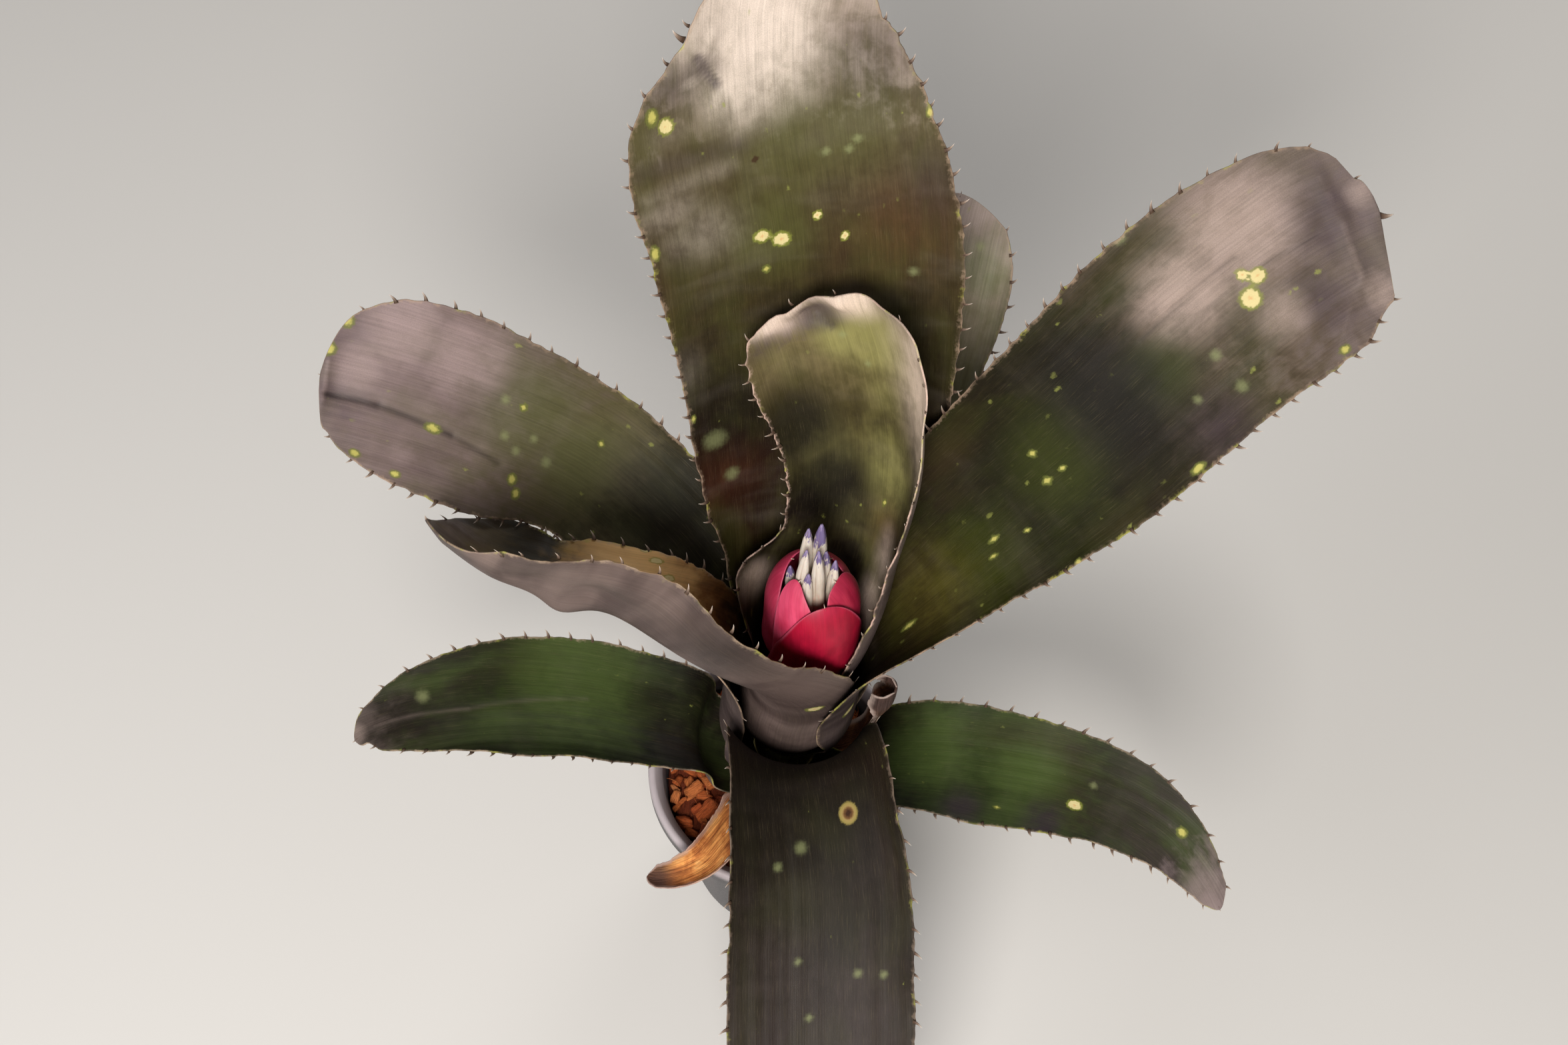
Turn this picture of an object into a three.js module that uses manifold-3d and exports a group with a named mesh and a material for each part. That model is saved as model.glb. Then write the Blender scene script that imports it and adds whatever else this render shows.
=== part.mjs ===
// Potted dark prince billbergia: a tube of overlapping leaves with spiny margins, a flower head
// inside the tube, and a small round pot filled with husk chips.
// Millimetres, +Z up. The origin is the centre of the pot's flat base, and -Y is the front.
import * as THREE from "three";
import { mergeVertices } from "three/addons/utils/BufferGeometryUtils.js";
import Module from "manifold-3d";

// Pot
const POT_HEIGHT = 70;
const POT_RIM_RADIUS = 40;
const POT_BASE_RADIUS = 28;
const POT_WALL = 1.4;
const POT_FLOOR = 2;
const POT_LIP = 2.6;
const POT_LIP_HEIGHT = 7;
const POT_SIDES = 36;
const DRAIN_HOLES = 6;
const DRAIN_RADIUS = 3.2;
const DRAIN_RING = 19;

// Substrate
const SOIL_LEVEL = 62;
const SOIL_GAP = 0.4;
const CHIP_COUNT = 30;
const CHIP_RING = 14;
const CHIP_SPREAD = 15.5;
const CHIP_APART = 3.4;
const CHIP_TILT = 0.9;

// Stem and tube axis: upright to LEAN_START, then leaning to the right and back
const STEM_RADIUS = 9.4;
const STEM_BOTTOM = 20;
const STEM_TOP = 106;
const LEAN_START = 60;
const LEAN_X = 9.2 / 97;
const LEAN_Y = 4 / 97;

// Nested sheaths: layer 0 is the outermost and lowest, and each next one starts higher inside it
const SHEATH_FOOT_RADIUS = 10.3;
const SHEATH_FOOT_Z = 66;
const SHEATH_STEP_Z = 3.6;
const SHEATH_INNER_RADIUS = 14.4;
const SHEATH_PITCH = 1.6;
const SHEATH_FLARE = 17;
const LAST_LAYER = 10;

// Leaf blades
const LEAF_THICKNESS = 0.9;
const MARGIN_THINNING = 0.3;
const SPINE_SPACING = 9.4;
const SPINE_BASE = 2;
const SPINE_LENGTH = 2.3;
const SPINE_LEAN = 1.3;
const FIRST_SPINE_GAP = 3;
const LAST_SPINE_GAP = 6;
const TIP_ROW_GAP = 2;

// Flower head
const HEAD_FOOT_Z = 136;
const HEAD_STEP_Z = 2.2;
const HEAD_RADIUS = 13.4;
const HEAD_LEAN_X = 0.04;
const HEAD_LEAN_Y = 0.06;
const HEAD_SHOULDER_Z = 168;
const HEAD_DOME_HEIGHT = 18.5;
const BRACT_FOOT_RADIUS = 3.7;
const BRACT_PITCH = 0.95;
const BRACT_THICKNESS = 0.6;
const BRACT_FLARE = 12;
const BRACT_ROWS = 14;
const BRACT_COLUMNS = 8;
const BRACT_END_WIDTH = 0.4;
const SCAPE_RADIUS = 2.6;
const BUD_FOOT_Z = 157;
const BUD_RADIUS = 1.5;
const BUD_RING = 4.9;

const wasm = await Module();
wasm.setup();

const part = new THREE.Group();

const leafMaterial = (colour) =>
  new THREE.MeshStandardMaterial({ color: colour, roughness: 0.5, metalness: 0 });
const MATERIALS = {
  pot: new THREE.MeshStandardMaterial({ color: 0x2c2c2e, roughness: 0.6, metalness: 0 }),
  substrate: new THREE.MeshStandardMaterial({ color: 0x6b452c, roughness: 0.95, metalness: 0 }),
  stem: new THREE.MeshStandardMaterial({ color: 0x6d6a3a, roughness: 0.8, metalness: 0 }),
  dark: leafMaterial(0x3d3330),
  green: leafMaterial(0x4b5a2e),
  dried: new THREE.MeshStandardMaterial({ color: 0x8a5a35, roughness: 0.9, metalness: 0 }),
  bract: new THREE.MeshStandardMaterial({ color: 0xc22f56, roughness: 0.45, metalness: 0 }),
  bud: new THREE.MeshStandardMaterial({ color: 0xf2ecdf, roughness: 0.5, metalness: 0 }),
};

function addMesh(name, geometry, material) {
  const mesh = new THREE.Mesh(geometry, material);
  mesh.name = name;
  part.add(mesh);
}

const radians = (degrees) => (degrees * Math.PI) / 180;

// A repeatable sequence of numbers between 0 and 1
function seeded(seed) {
  let state = seed;
  return () => {
    state = (state * 1664525 + 1013904223) % 4294967296;
    return state / 4294967296;
  };
}

// Centre of the plant's tube at a height
function axisAt(z) {
  const rise = Math.max(0, z - LEAN_START);
  return new THREE.Vector3(LEAN_X * rise, LEAN_Y * rise, z);
}

function solidFrom(geometry) {
  const bare = geometry.clone();
  bare.deleteAttribute("normal");
  bare.deleteAttribute("uv");
  const merged = mergeVertices(bare, 1e-4);
  return new wasm.Manifold(
    new wasm.Mesh({
      numProp: 3,
      vertProperties: merged.attributes.position.array,
      triVerts: new Uint32Array(merged.index.array),
    }),
  );
}

function geometryFrom(solid) {
  const mesh = solid.getMesh();
  const geometry = new THREE.BufferGeometry();
  geometry.setAttribute("position", new THREE.BufferAttribute(mesh.vertProperties, 3));
  geometry.setIndex(new THREE.BufferAttribute(mesh.triVerts, 1));
  return geometry;
}

// A closed lathe about the Z axis from [radius, z] pairs
function lathe(pairs, sides) {
  const points = pairs.map(([radius, z]) => new THREE.Vector2(radius, z));
  return new THREE.LatheGeometry(points, sides).rotateX(Math.PI / 2);
}

// A closed body through rings of points, each ring a list of Vector3 in the same order
function ringBody(rings) {
  const count = rings[0].length;
  const points = rings.flat();
  const index = [];
  for (let r = 0; r + 1 < rings.length; r++)
    for (let i = 0; i < count; i++) {
      const a = r * count + i;
      const b = r * count + ((i + 1) % count);
      index.push(a, b, b + count, a, b + count, a + count);
    }
  const capAt = (ring, foot) => {
    const centre = points.length;
    const middle = new THREE.Vector3();
    ring.forEach((p) => middle.addScaledVector(p, 1 / count));
    points.push(middle);
    for (let i = 0; i < count; i++) {
      const a = foot + i;
      const b = foot + ((i + 1) % count);
      index.push(...(foot === 0 ? [b, a, centre] : [a, b, centre]));
    }
  };
  capAt(rings[0], 0);
  capAt(rings[rings.length - 1], (rings.length - 1) * count);
  return new THREE.BufferGeometry().setFromPoints(points).setIndex(index);
}

// A closed body through flat loops, each one a row of points and back again, with the ends filled across
function stripBody(loops) {
  const count = loops[0].length;
  const index = [];
  const quad = (a, b, c, d) => index.push(a, b, c, a, c, d);
  for (let r = 0; r + 1 < loops.length; r++)
    for (let i = 0; i < count; i++) {
      const a = r * count + i;
      const b = r * count + ((i + 1) % count);
      quad(a, b, b + count, a + count);
    }
  const top = (loops.length - 1) * count;
  for (let i = 0; i + 1 < count / 2; i++) {
    quad(count - 1 - i, count - 2 - i, i + 1, i);
    quad(top + i, top + i + 1, top + count - 2 - i, top + count - 1 - i);
  }
  return new THREE.BufferGeometry().setFromPoints(loops.flat()).setIndex(index);
}

// Ring of points round the tube's axis, or round a given centre
function ringAt(centre, radius, sides) {
  return Array.from({ length: sides }, (_, i) => {
    const turn = (i / sides) * 2 * Math.PI;
    return new THREE.Vector3(
      centre.x + radius * Math.cos(turn),
      centre.y + radius * Math.sin(turn),
      centre.z,
    );
  });
}

// The pot's outer radius at a height
function potRadius(z) {
  return POT_BASE_RADIUS + ((POT_RIM_RADIUS - POT_LIP - POT_BASE_RADIUS) * z) / POT_HEIGHT;
}

function makePot() {
  const lipFoot = POT_HEIGHT - POT_LIP_HEIGHT;
  const profile = [
    [0, 0],
    [POT_BASE_RADIUS - 1.2, 0],
    [POT_BASE_RADIUS, 1.2],
    [potRadius(lipFoot), lipFoot],
    [POT_RIM_RADIUS - 0.9, lipFoot],
    [POT_RIM_RADIUS, lipFoot + 1],
    [POT_RIM_RADIUS, POT_HEIGHT - 1.2],
    [POT_RIM_RADIUS - 0.5, POT_HEIGHT - 0.3],
    [POT_RIM_RADIUS - 1.3, POT_HEIGHT],
    [potRadius(POT_HEIGHT) - 0.8, POT_HEIGHT],
    [potRadius(POT_HEIGHT) - POT_WALL, POT_HEIGHT - 1],
    [potRadius(POT_FLOOR) - POT_WALL, POT_FLOOR],
    [0, POT_FLOOR],
  ];
  let solid = solidFrom(lathe(profile, POT_SIDES));
  const hole = new THREE.CylinderGeometry(DRAIN_RADIUS, DRAIN_RADIUS, 3 * POT_FLOOR, 10);
  hole.rotateX(Math.PI / 2);
  for (let i = 0; i < DRAIN_HOLES; i++) {
    const turn = (i / DRAIN_HOLES) * 2 * Math.PI;
    const placed = hole
      .clone()
      .translate(DRAIN_RING * Math.cos(turn), DRAIN_RING * Math.sin(turn), POT_FLOOR / 2);
    solid = solid.subtract(solidFrom(placed));
  }
  addMesh("pot", geometryFrom(solid), MATERIALS.pot);
}

// Filled medium with a plain hole for the stem and coarse chips fused into its top
function makeSubstrate() {
  const wall = (z) => potRadius(z) - POT_WALL - SOIL_GAP;
  const holeRadius = STEM_RADIUS + SOIL_GAP;
  const profile = [
    [0, POT_FLOOR + SOIL_GAP],
    [wall(POT_FLOOR + SOIL_GAP), POT_FLOOR + SOIL_GAP],
    [wall(SOIL_LEVEL - 2), SOIL_LEVEL - 2],
    [wall(SOIL_LEVEL) - 4, SOIL_LEVEL + 0.6],
    [holeRadius, SOIL_LEVEL],
    [holeRadius, STEM_BOTTOM - SOIL_GAP],
    [0, STEM_BOTTOM - SOIL_GAP],
  ];
  let solid = solidFrom(lathe(profile, POT_SIDES));
  const draw = seeded(7);
  const placed = [];
  while (placed.length < CHIP_COUNT) {
    const turn = draw() * 2 * Math.PI;
    const reach = CHIP_RING + CHIP_SPREAD * Math.sqrt(draw());
    const place = new THREE.Vector3(reach * Math.cos(turn), reach * Math.sin(turn), SOIL_LEVEL + 0.8);
    if (placed.every((other) => other.distanceTo(place) > CHIP_APART)) placed.push(place);
    const chip = new THREE.BoxGeometry(4 + 3 * draw(), 2.4 + 2 * draw(), 2 + draw());
    chip.rotateX((draw() - 0.5) * CHIP_TILT);
    chip.rotateY((draw() - 0.5) * CHIP_TILT);
    chip.rotateZ(draw() * Math.PI);
    if (placed.at(-1) === place)
      solid = solid.add(solidFrom(chip.translate(place.x, place.y, place.z)));
  }
  const outer = solid.decompose().filter((body) => body.volume() > 0);
  const filled = outer.reduce((whole, body) => whole.add(body));
  addMesh("substrate", geometryFrom(filled), MATERIALS.substrate);
}

function makeStem() {
  const rings = [STEM_BOTTOM, LEAN_START, STEM_TOP].map((z) => ringAt(axisAt(z), STEM_RADIUS, 20));
  addMesh("stem", ringBody(rings), MATERIALS.stem);
}

// Sheath radius of a layer at a height: it flares from the stem into the tube
function sheathRadius(layer, z) {
  const full = SHEATH_INNER_RADIUS + SHEATH_PITCH * (LAST_LAYER - layer);
  const t = Math.min(1, Math.max(0, (z - sheathFoot(layer)) / SHEATH_FLARE));
  return SHEATH_FOOT_RADIUS + (full - SHEATH_FOOT_RADIUS) * Math.sin((t * Math.PI) / 2);
}

function sheathFoot(layer) {
  return SHEATH_FOOT_Z + SHEATH_STEP_Z * layer;
}

// A station of a leaf: midrib point, azimuth that it faces, bank about the midrib,
// half-widths on the counter-clockwise and clockwise side, and the radius of its channel,
// which may be another one on the left side
const station = (x, y, z, azimuth, bank, left, right, bow, bowLeft = bow) => ({
  x, y, z, azimuth, bank, left, right, bend: 1 / bow, bendLeft: 1 / bowLeft, free: 1,
});

// Stations of the sheath, which lies round the tube's axis
function sheathStations({ layer, azimuth, top, foot, left, right, steps = 4 }) {
  const start = sheathFoot(layer);
  return Array.from({ length: steps }, (_, i) => {
    const t = i / (steps - 1);
    const z = start + (top - start) * t;
    const radius = sheathRadius(layer, z);
    const centre = axisAt(z);
    return {
      x: centre.x + radius * Math.cos(radians(azimuth)),
      y: centre.y + radius * Math.sin(radians(azimuth)),
      z,
      azimuth,
      bank: 0,
      left: foot + (left - foot) * Math.min(1, 1.5 * t),
      right: foot + (right - foot) * Math.min(1, 1.5 * t),
      bend: 1 / radius,
      bendLeft: 1 / radius,
      free: 0,
    };
  });
}

const CHANNELS = ["x", "y", "z", "azimuth", "bank", "left", "right", "bend", "bendLeft", "free"];

// Every channel of the stations at a running index, by a Catmull-Rom spline
function along(stations, t) {
  const i = Math.min(stations.length - 2, Math.floor(t));
  const f = t - i;
  const at = (k) => stations[Math.min(stations.length - 1, Math.max(0, k))];
  const [p0, p1, p2, p3] = [at(i - 1), at(i), at(i + 1), at(i + 2)];
  const value = {};
  for (const key of CHANNELS)
    value[key] =
      0.5 *
      (2 * p1[key] +
        (p2[key] - p0[key]) * f +
        (2 * p0[key] - 5 * p1[key] + 4 * p2[key] - p3[key]) * f * f +
        (3 * p1[key] - p0[key] - 3 * p2[key] + p3[key]) * f * f * f);
  value.free = Math.min(1, Math.max(0, value.free));
  return value;
}

const UP = new THREE.Vector3(0, 0, 1);

// Frame across the leaf at a running index: midrib point, side direction and inward normal
function frameAt(stations, t) {
  const here = along(stations, t);
  const last = stations.length - 1;
  const before = along(stations, Math.max(0, t - 0.01));
  const after = along(stations, Math.min(last, t + 0.01));
  const tangent = new THREE.Vector3(after.x - before.x, after.y - before.y, after.z - before.z);
  tangent.normalize().multiplyScalar(here.free).addScaledVector(UP, 1 - here.free).normalize();
  const turn = radians(here.azimuth);
  const side = new THREE.Vector3(-Math.sin(turn), Math.cos(turn), 0);
  side.addScaledVector(tangent, -side.dot(tangent)).normalize();
  const inward = tangent.clone().cross(side);
  const bank = radians(here.bank);
  const tilted = side.clone().multiplyScalar(Math.cos(bank)).addScaledVector(inward, Math.sin(bank));
  inward.multiplyScalar(Math.cos(bank)).addScaledVector(side, -Math.sin(bank));
  return { here, point: new THREE.Vector3(here.x, here.y, here.z), side: tilted, inward, tangent };
}

// Point of the leaf at a place across it, from -1 at the right margin to 1 at the left one
function acrossAt({ here, point, side, inward }, u, lift) {
  const arc = (u > 0 ? here.left : here.right) * u;
  const bend = Math.max(u > 0 ? here.bendLeft : here.bend, 1e-4);
  const angle = arc * bend;
  const place = point
    .clone()
    .addScaledVector(side, Math.sin(angle) / bend)
    .addScaledVector(inward, (1 - Math.cos(angle)) / bend);
  return place
    .addScaledVector(inward, lift * Math.cos(angle))
    .addScaledVector(side, -lift * Math.sin(angle));
}

// Distances along the midrib where the rows lie: pairs of close rows hold a spine between them
function rowPlan(length, spinesFrom, plainRows) {
  const rows = [];
  if (spinesFrom === null) {
    for (let i = 0; i <= plainRows; i++) rows.push({ at: (length * i) / plainRows, spine: false });
    return rows;
  }
  const plainEnd = spinesFrom - FIRST_SPINE_GAP;
  for (let i = 0; i < plainRows; i++) rows.push({ at: (plainEnd * i) / plainRows, spine: false });
  const spiny = length - LAST_SPINE_GAP - spinesFrom;
  const spines = Math.floor(spiny / SPINE_SPACING);
  const pitch = spiny / spines;
  for (let i = 0; i <= spines; i++) {
    const middle = spinesFrom + i * pitch;
    rows.push({ at: middle - SPINE_BASE / 2, spine: true });
    rows.push({ at: middle + SPINE_BASE / 2, spine: false });
  }
  rows.push({ at: length - TIP_ROW_GAP, spine: false }, { at: length, spine: false });
  return rows;
}

// A leaf as one closed body: upper and lower face, margins with hooked spines, and both ends
function leafGeometry({ stations, columns, thickness, spinesFrom = null, plainRows = 4 }) {
  const last = stations.length - 1;
  const samples = 400;
  const reach = [0];
  let previous = frameAt(stations, 0).point;
  for (let i = 1; i <= samples; i++) {
    const next = frameAt(stations, (last * i) / samples).point;
    reach.push(reach[i - 1] + next.distanceTo(previous));
    previous = next;
  }
  const indexAt = (distance) => {
    let i = 1;
    while (i < samples && reach[i] < distance) i++;
    const part = (distance - reach[i - 1]) / (reach[i] - reach[i - 1]);
    return Math.min(last, (last * (i - 1 + part)) / samples);
  };
  const rows = rowPlan(reach[samples], spinesFrom, plainRows);
  const points = [];
  const frames = rows.map((row) => frameAt(stations, indexAt(row.at)));
  for (const frame of frames)
    for (const face of [1, -1])
      for (let c = 0; c <= columns; c++) {
        const u = (2 * c) / columns - 1;
        points.push(acrossAt(frame, u, (face * thickness * (1 - MARGIN_THINNING * u * u)) / 2));
      }
  const index = [];
  const perRow = 2 * (columns + 1);
  const upper = (r, c) => r * perRow + c;
  const lower = (r, c) => r * perRow + columns + 1 + c;
  const quad = (a, b, c, d) => index.push(a, b, c, a, c, d);
  for (let r = 0; r + 1 < rows.length; r++)
    for (let c = 0; c < columns; c++) {
      quad(upper(r + 1, c + 1), upper(r, c + 1), upper(r, c), upper(r + 1, c));
      quad(lower(r + 1, c + 1), lower(r + 1, c), lower(r, c), lower(r, c + 1));
    }
  const margin = (r, column, outward) => {
    const corners =
      outward > 0
        ? [lower(r, column), upper(r, column), upper(r + 1, column), lower(r + 1, column)]
        : [upper(r, column), lower(r, column), lower(r + 1, column), upper(r + 1, column)];
    if (!rows[r].spine) return quad(...corners);
    const apex = points.length;
    const near = frames[r];
    const far = frames[r + 1];
    const edge = acrossAt(near, outward, 0).add(acrossAt(far, outward, 0)).multiplyScalar(0.5);
    const within = 0.97 * outward;
    const inner = acrossAt(near, within, 0).add(acrossAt(far, within, 0)).multiplyScalar(0.5);
    const away = edge.clone().sub(inner).normalize();
    points.push(edge.addScaledVector(away, SPINE_LENGTH).addScaledVector(far.tangent, SPINE_LEAN));
    for (let k = 0; k < 4; k++) index.push(corners[k], corners[(k + 1) % 4], apex);
  };
  for (let r = 0; r + 1 < rows.length; r++) {
    margin(r, columns, 1);
    margin(r, 0, -1);
  }
  const end = rows.length - 1;
  for (let c = 0; c < columns; c++) {
    quad(upper(0, c), upper(0, c + 1), lower(0, c + 1), lower(0, c));
    quad(lower(end, c), lower(end, c + 1), upper(end, c + 1), upper(end, c));
  }
  return new THREE.BufferGeometry().setFromPoints(points).setIndex(index);
}

// The leaves, from the innermost to the lowest. Each blade runs from the tube out to its tip.
const LEAVES = [
  {
    name: "leaf_centre",
    material: "dark",
    columns: 8,
    spinesFrom: 30,
    sheath: { layer: 10, azimuth: 50, top: 140, foot: 16, left: 30, right: 29 },
    blade: [
      station(21, 17, 155, 50, 0, 36, 29.2, 16.5, 23),
      station(25, 25, 172, 48, 0, 25, 28.5, 18),
      station(26, 38, 196, 58, 0, 26, 31, 22),
      station(22, 48, 218, 65, 0, 30, 32, 27),
      station(18, 53, 232, 67, 0, 27.5, 26, 32),
      station(14.5, 56, 241, 68, 0, 14, 9, 40),
    ],
  },
  {
    name: "leaf_left_inner",
    material: "dark",
    columns: 8,
    spinesFrom: 42,
    sheath: { layer: 9, azimuth: 224, top: 134, foot: 16, left: 30, right: 27 },
    blade: [
      station(-10, -8, 150, 212, 5, 33, 25, 22),
      station(-26, -8, 167, 196, 22, 35, 29, 28),
      station(-44, -4, 180, 186, 46, 35, 31, 32),
      station(-60, -2, 187, 183, 49, 35, 28, 38),
      station(-75, 2, 192, 181, 47, 33, 31, 50),
      station(-86, 8, 198, 178, 45, 20, 20, 60),
      station(-91, 12, 202, 176, 45, 5, 5, 60),
    ],
  },
  {
    name: "leaf_right",
    material: "dark",
    columns: 6,
    spinesFrom: 40,
    sheath: { layer: 8, azimuth: 18, top: 130, foot: 16, left: 20, right: 27 },
    blade: [
      station(27, 9.5, 147, 18, 4, 20, 26, 21),
      station(43, 17, 167, 19, 14, 22, 24, 30),
      station(60, 25, 186, 20, 25, 28, 25.5, 42),
      station(82, 34, 211, 21, 30, 30.5, 28.5, 60),
      station(107, 47, 237, 23, 30, 31, 28.5, 85),
      station(130, 59, 252, 25, 30, 27.5, 28.5, 100),
      station(144, 65, 257, 26, 30, 18.5, 21, 100),
      station(151, 67, 259, 26, 30, 8.5, 11, 100),
    ],
  },
  {
    name: "leaf_back",
    material: "dark",
    columns: 6,
    spinesFrom: 40,
    sheath: { layer: 7, azimuth: 93, top: 128, foot: 16, left: 26, right: 25 },
    blade: [
      station(9, 29.5, 147, 93, 0, 26, 31, 27),
      station(10, 44, 175, 93, 0, 33.5, 34.5, 46),
      station(10, 58, 208, 93, 0, 36.5, 38.5, 75),
      station(8, 70, 243, 94, 0, 40.5, 40, 95),
      station(4, 82, 275, 96, 0, 41.5, 34.5, 110),
      station(3, 91, 297, 97, 0, 25.5, 25, 120),
      station(4, 95, 307, 97, 0, 17.5, 19, 120),
      station(4, 98.5, 315.5, 97, 0, 6, 6, 120),
    ],
  },
  {
    name: "leaf_left_outer",
    material: "dark",
    columns: 6,
    spinesFrom: 42,
    sheath: { layer: 6, azimuth: 158, top: 124, foot: 16, left: 23, right: 18 },
    blade: [
      station(-14, 14, 140, 158, -4, 24, 17, 26),
      station(-30, 29, 157, 159, -18, 23, 21, 33),
      station(-48, 41, 171, 161, -28, 20, 23, 45),
      station(-62, 44, 183, 162, -28, 21, 24, 55),
      station(-74, 44, 193, 163, -28, 24, 25.5, 65),
      station(-90, 45, 203, 164, -28, 23.5, 27, 75),
      station(-104, 46, 210, 165, -28, 20.5, 24.5, 85),
      station(-115, 47, 214, 166, -28, 15, 16.5, 90),
      station(-120, 47, 216, 166, -28, 9.5, 8, 90),
    ],
  },
  {
    name: "leaf_front",
    material: "dark",
    columns: 6,
    spinesFrom: 38,
    sheath: { layer: 5, azimuth: 272, top: 114, foot: 16, left: 24, right: 24, steps: 3 },
    blade: [
      station(8, -27, 126, 272, 0, 25, 25, 25),
      station(10, -42, 127, 271, 0, 26, 26, 28),
      station(12, -62, 121, 270, 0, 26, 26, 42),
      station(12, -84, 111, 270, 0, 26, 26, 60),
      station(12, -108, 98, 270, 0, 25, 25, 75),
      station(12, -130, 84, 270, 0, 21, 21, 80),
      station(12, -144, 75, 270, 0, 12, 12, 80),
      station(12, -150, 71, 270, 0, 4, 4, 80),
    ],
  },
  {
    name: "leaf_back_right",
    material: "dark",
    columns: 6,
    spinesFrom: 36,
    sheath: { layer: 3, azimuth: 70, top: 112, foot: 16, left: 20, right: 20 },
    blade: [
      station(25, 41, 130, 69, 0, 17, 15, 30),
      station(34, 59, 151, 68, 0, 17, 14.5, 45),
      station(41, 77, 173, 68, 0, 18, 17, 60),
      station(46, 93, 192, 69, 0, 18.5, 20.5, 70),
      station(49, 104, 205, 70, 0, 13.5, 16.5, 70),
      station(51.5, 111, 212, 70, 0, 5, 8, 70),
    ],
  },
  {
    name: "leaf_low_left",
    material: "green",
    columns: 6,
    spinesFrom: 34,
    sheath: { layer: 2, azimuth: 188, top: 86, foot: 16, left: 13, right: 20, steps: 3 },
    blade: [
      station(-26, -2, 94, 188, 0, 13, 21, 26),
      station(-42, -1, 102, 188, 0, 16, 22, 28),
      station(-58, -1, 110, 188, 0, 19, 22, 28),
      station(-80, -4, 120, 189, 0, 19, 20, 28),
      station(-101, -10, 127, 193, 0, 13, 14, 26),
      station(-114, -15, 128, 197, 0, 7, 7, 20),
      station(-120, -18, 126, 200, 0, 2, 2, 16),
    ],
  },
  {
    name: "leaf_low_right",
    material: "green",
    columns: 6,
    spinesFrom: 34,
    sheath: { layer: 1, azimuth: 336, top: 84, foot: 18, left: 18, right: 16, steps: 3 },
    blade: [
      station(30, -10, 91, 338, 0, 18, 16, 26),
      station(46, -12, 98, 338, 6, 19, 18, 30),
      station(64, -17, 104, 336, 10, 18, 18, 36),
      station(83, -24, 110, 334, 10, 16, 16, 40),
      station(99, -33, 114, 330, 10, 14, 13, 40),
      station(111, -42, 114, 326, 10, 10, 10, 40),
      station(120, -52, 109, 320, 10, 6, 6, 40),
      station(125, -60, 104, 318, 10, 2, 2, 40),
    ],
  },
];

// Old leaves, dry and without spines: a rolled sheath on the right and one over the pot's rim
const DRIED_LEAVES = [
  {
    name: "dried_sheath_right",
    thickness: 0.7,
    plainRows: 9,
    sheath: { layer: 4, azimuth: 354, top: 112, foot: 7, left: 7, right: 7 },
    blade: [
      station(32.3, -3.5, 122, 346, 0, 7, 7, 6),
      station(33.2, -5.5, 130, 339, 0, 8, 8, 4),
      station(33.6, -5.5, 136, 339, 0, 8.5, 8.5, 3.7),
    ],
  },
  {
    name: "dried_leaf_front",
    thickness: 0.8,
    plainRows: 11,
    sheath: { layer: 0, azimuth: 238, top: 67.5, foot: 9, left: 9, right: 9, steps: 2 },
    blade: [
      station(-11, -18, 70.5, 238, 0, 8.5, 8.5, 8),
      station(-17, -27, 72.6, 237, 0, 8, 8, 6.5),
      station(-22, -33, 72.8, 228, 0, 7.5, 7.5, 5.5),
      station(-29, -36.5, 72, 205, 0, 6, 6, 5),
      station(-36, -37.5, 71, 185, 0, 4, 4, 4),
      station(-40, -37, 72, 178, 0, 1.5, 1.5, 3),
    ],
  },
];

function makeLeaf({ name, material, sheath, blade, columns, spinesFrom }) {
  const stations = [...sheathStations(sheath), ...blade];
  const geometry = leafGeometry({ stations, columns, spinesFrom, thickness: LEAF_THICKNESS });
  addMesh(name, geometry, MATERIALS[material]);
}

function makeDriedLeaf({ name, sheath, blade, plainRows, thickness }) {
  const stations = [...sheathStations(sheath), ...blade];
  const geometry = leafGeometry({ stations, columns: 6, plainRows, thickness });
  addMesh(name, geometry, MATERIALS.dried);
}

// Flower stalk inside the tube, widening into the seat of the buds
function makeScape() {
  const seat = BUD_FOOT_Z - 0.4;
  const profile = [
    [STEM_TOP + 0.3, SCAPE_RADIUS],
    [seat - 7, SCAPE_RADIUS],
    [seat - 3.5, 6],
    [seat, 7.2],
  ];
  const rings = profile.map(([z, radius]) => ringAt(axisAt(z), radius, 16));
  addMesh("scape", ringBody(rings), MATERIALS.stem);
}

// Centre of the flower head at a height: above its seat it stands more upright than the tube
function headAxisAt(z) {
  const rise = Math.max(0, z - BUD_FOOT_Z);
  const centre = axisAt(Math.min(z, BUD_FOOT_Z));
  return new THREE.Vector3(centre.x + HEAD_LEAN_X * rise, centre.y + HEAD_LEAN_Y * rise, z);
}

// Bract radius at a height: a goblet that flares from the scape and closes in a dome
function bractRadius(layer, z) {
  const full = HEAD_RADIUS - BRACT_PITCH * layer;
  const rise = Math.max(0, z - HEAD_SHOULDER_Z) / (HEAD_DOME_HEIGHT - BRACT_PITCH * layer);
  return (BRACT_FOOT_RADIUS + (full - BRACT_FOOT_RADIUS) * flareAt(layer, z)) * Math.sqrt(1 - rise * rise);
}

// How far the goblet has flared at a height, from 0 at its foot to 1
function flareAt(layer, z) {
  return Math.sin((Math.min(1, Math.max(0, (z - bractFoot(layer)) / BRACT_FLARE)) * Math.PI) / 2);
}

function bractFoot(layer) {
  return HEAD_FOOT_Z + HEAD_STEP_Z * layer;
}

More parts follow.
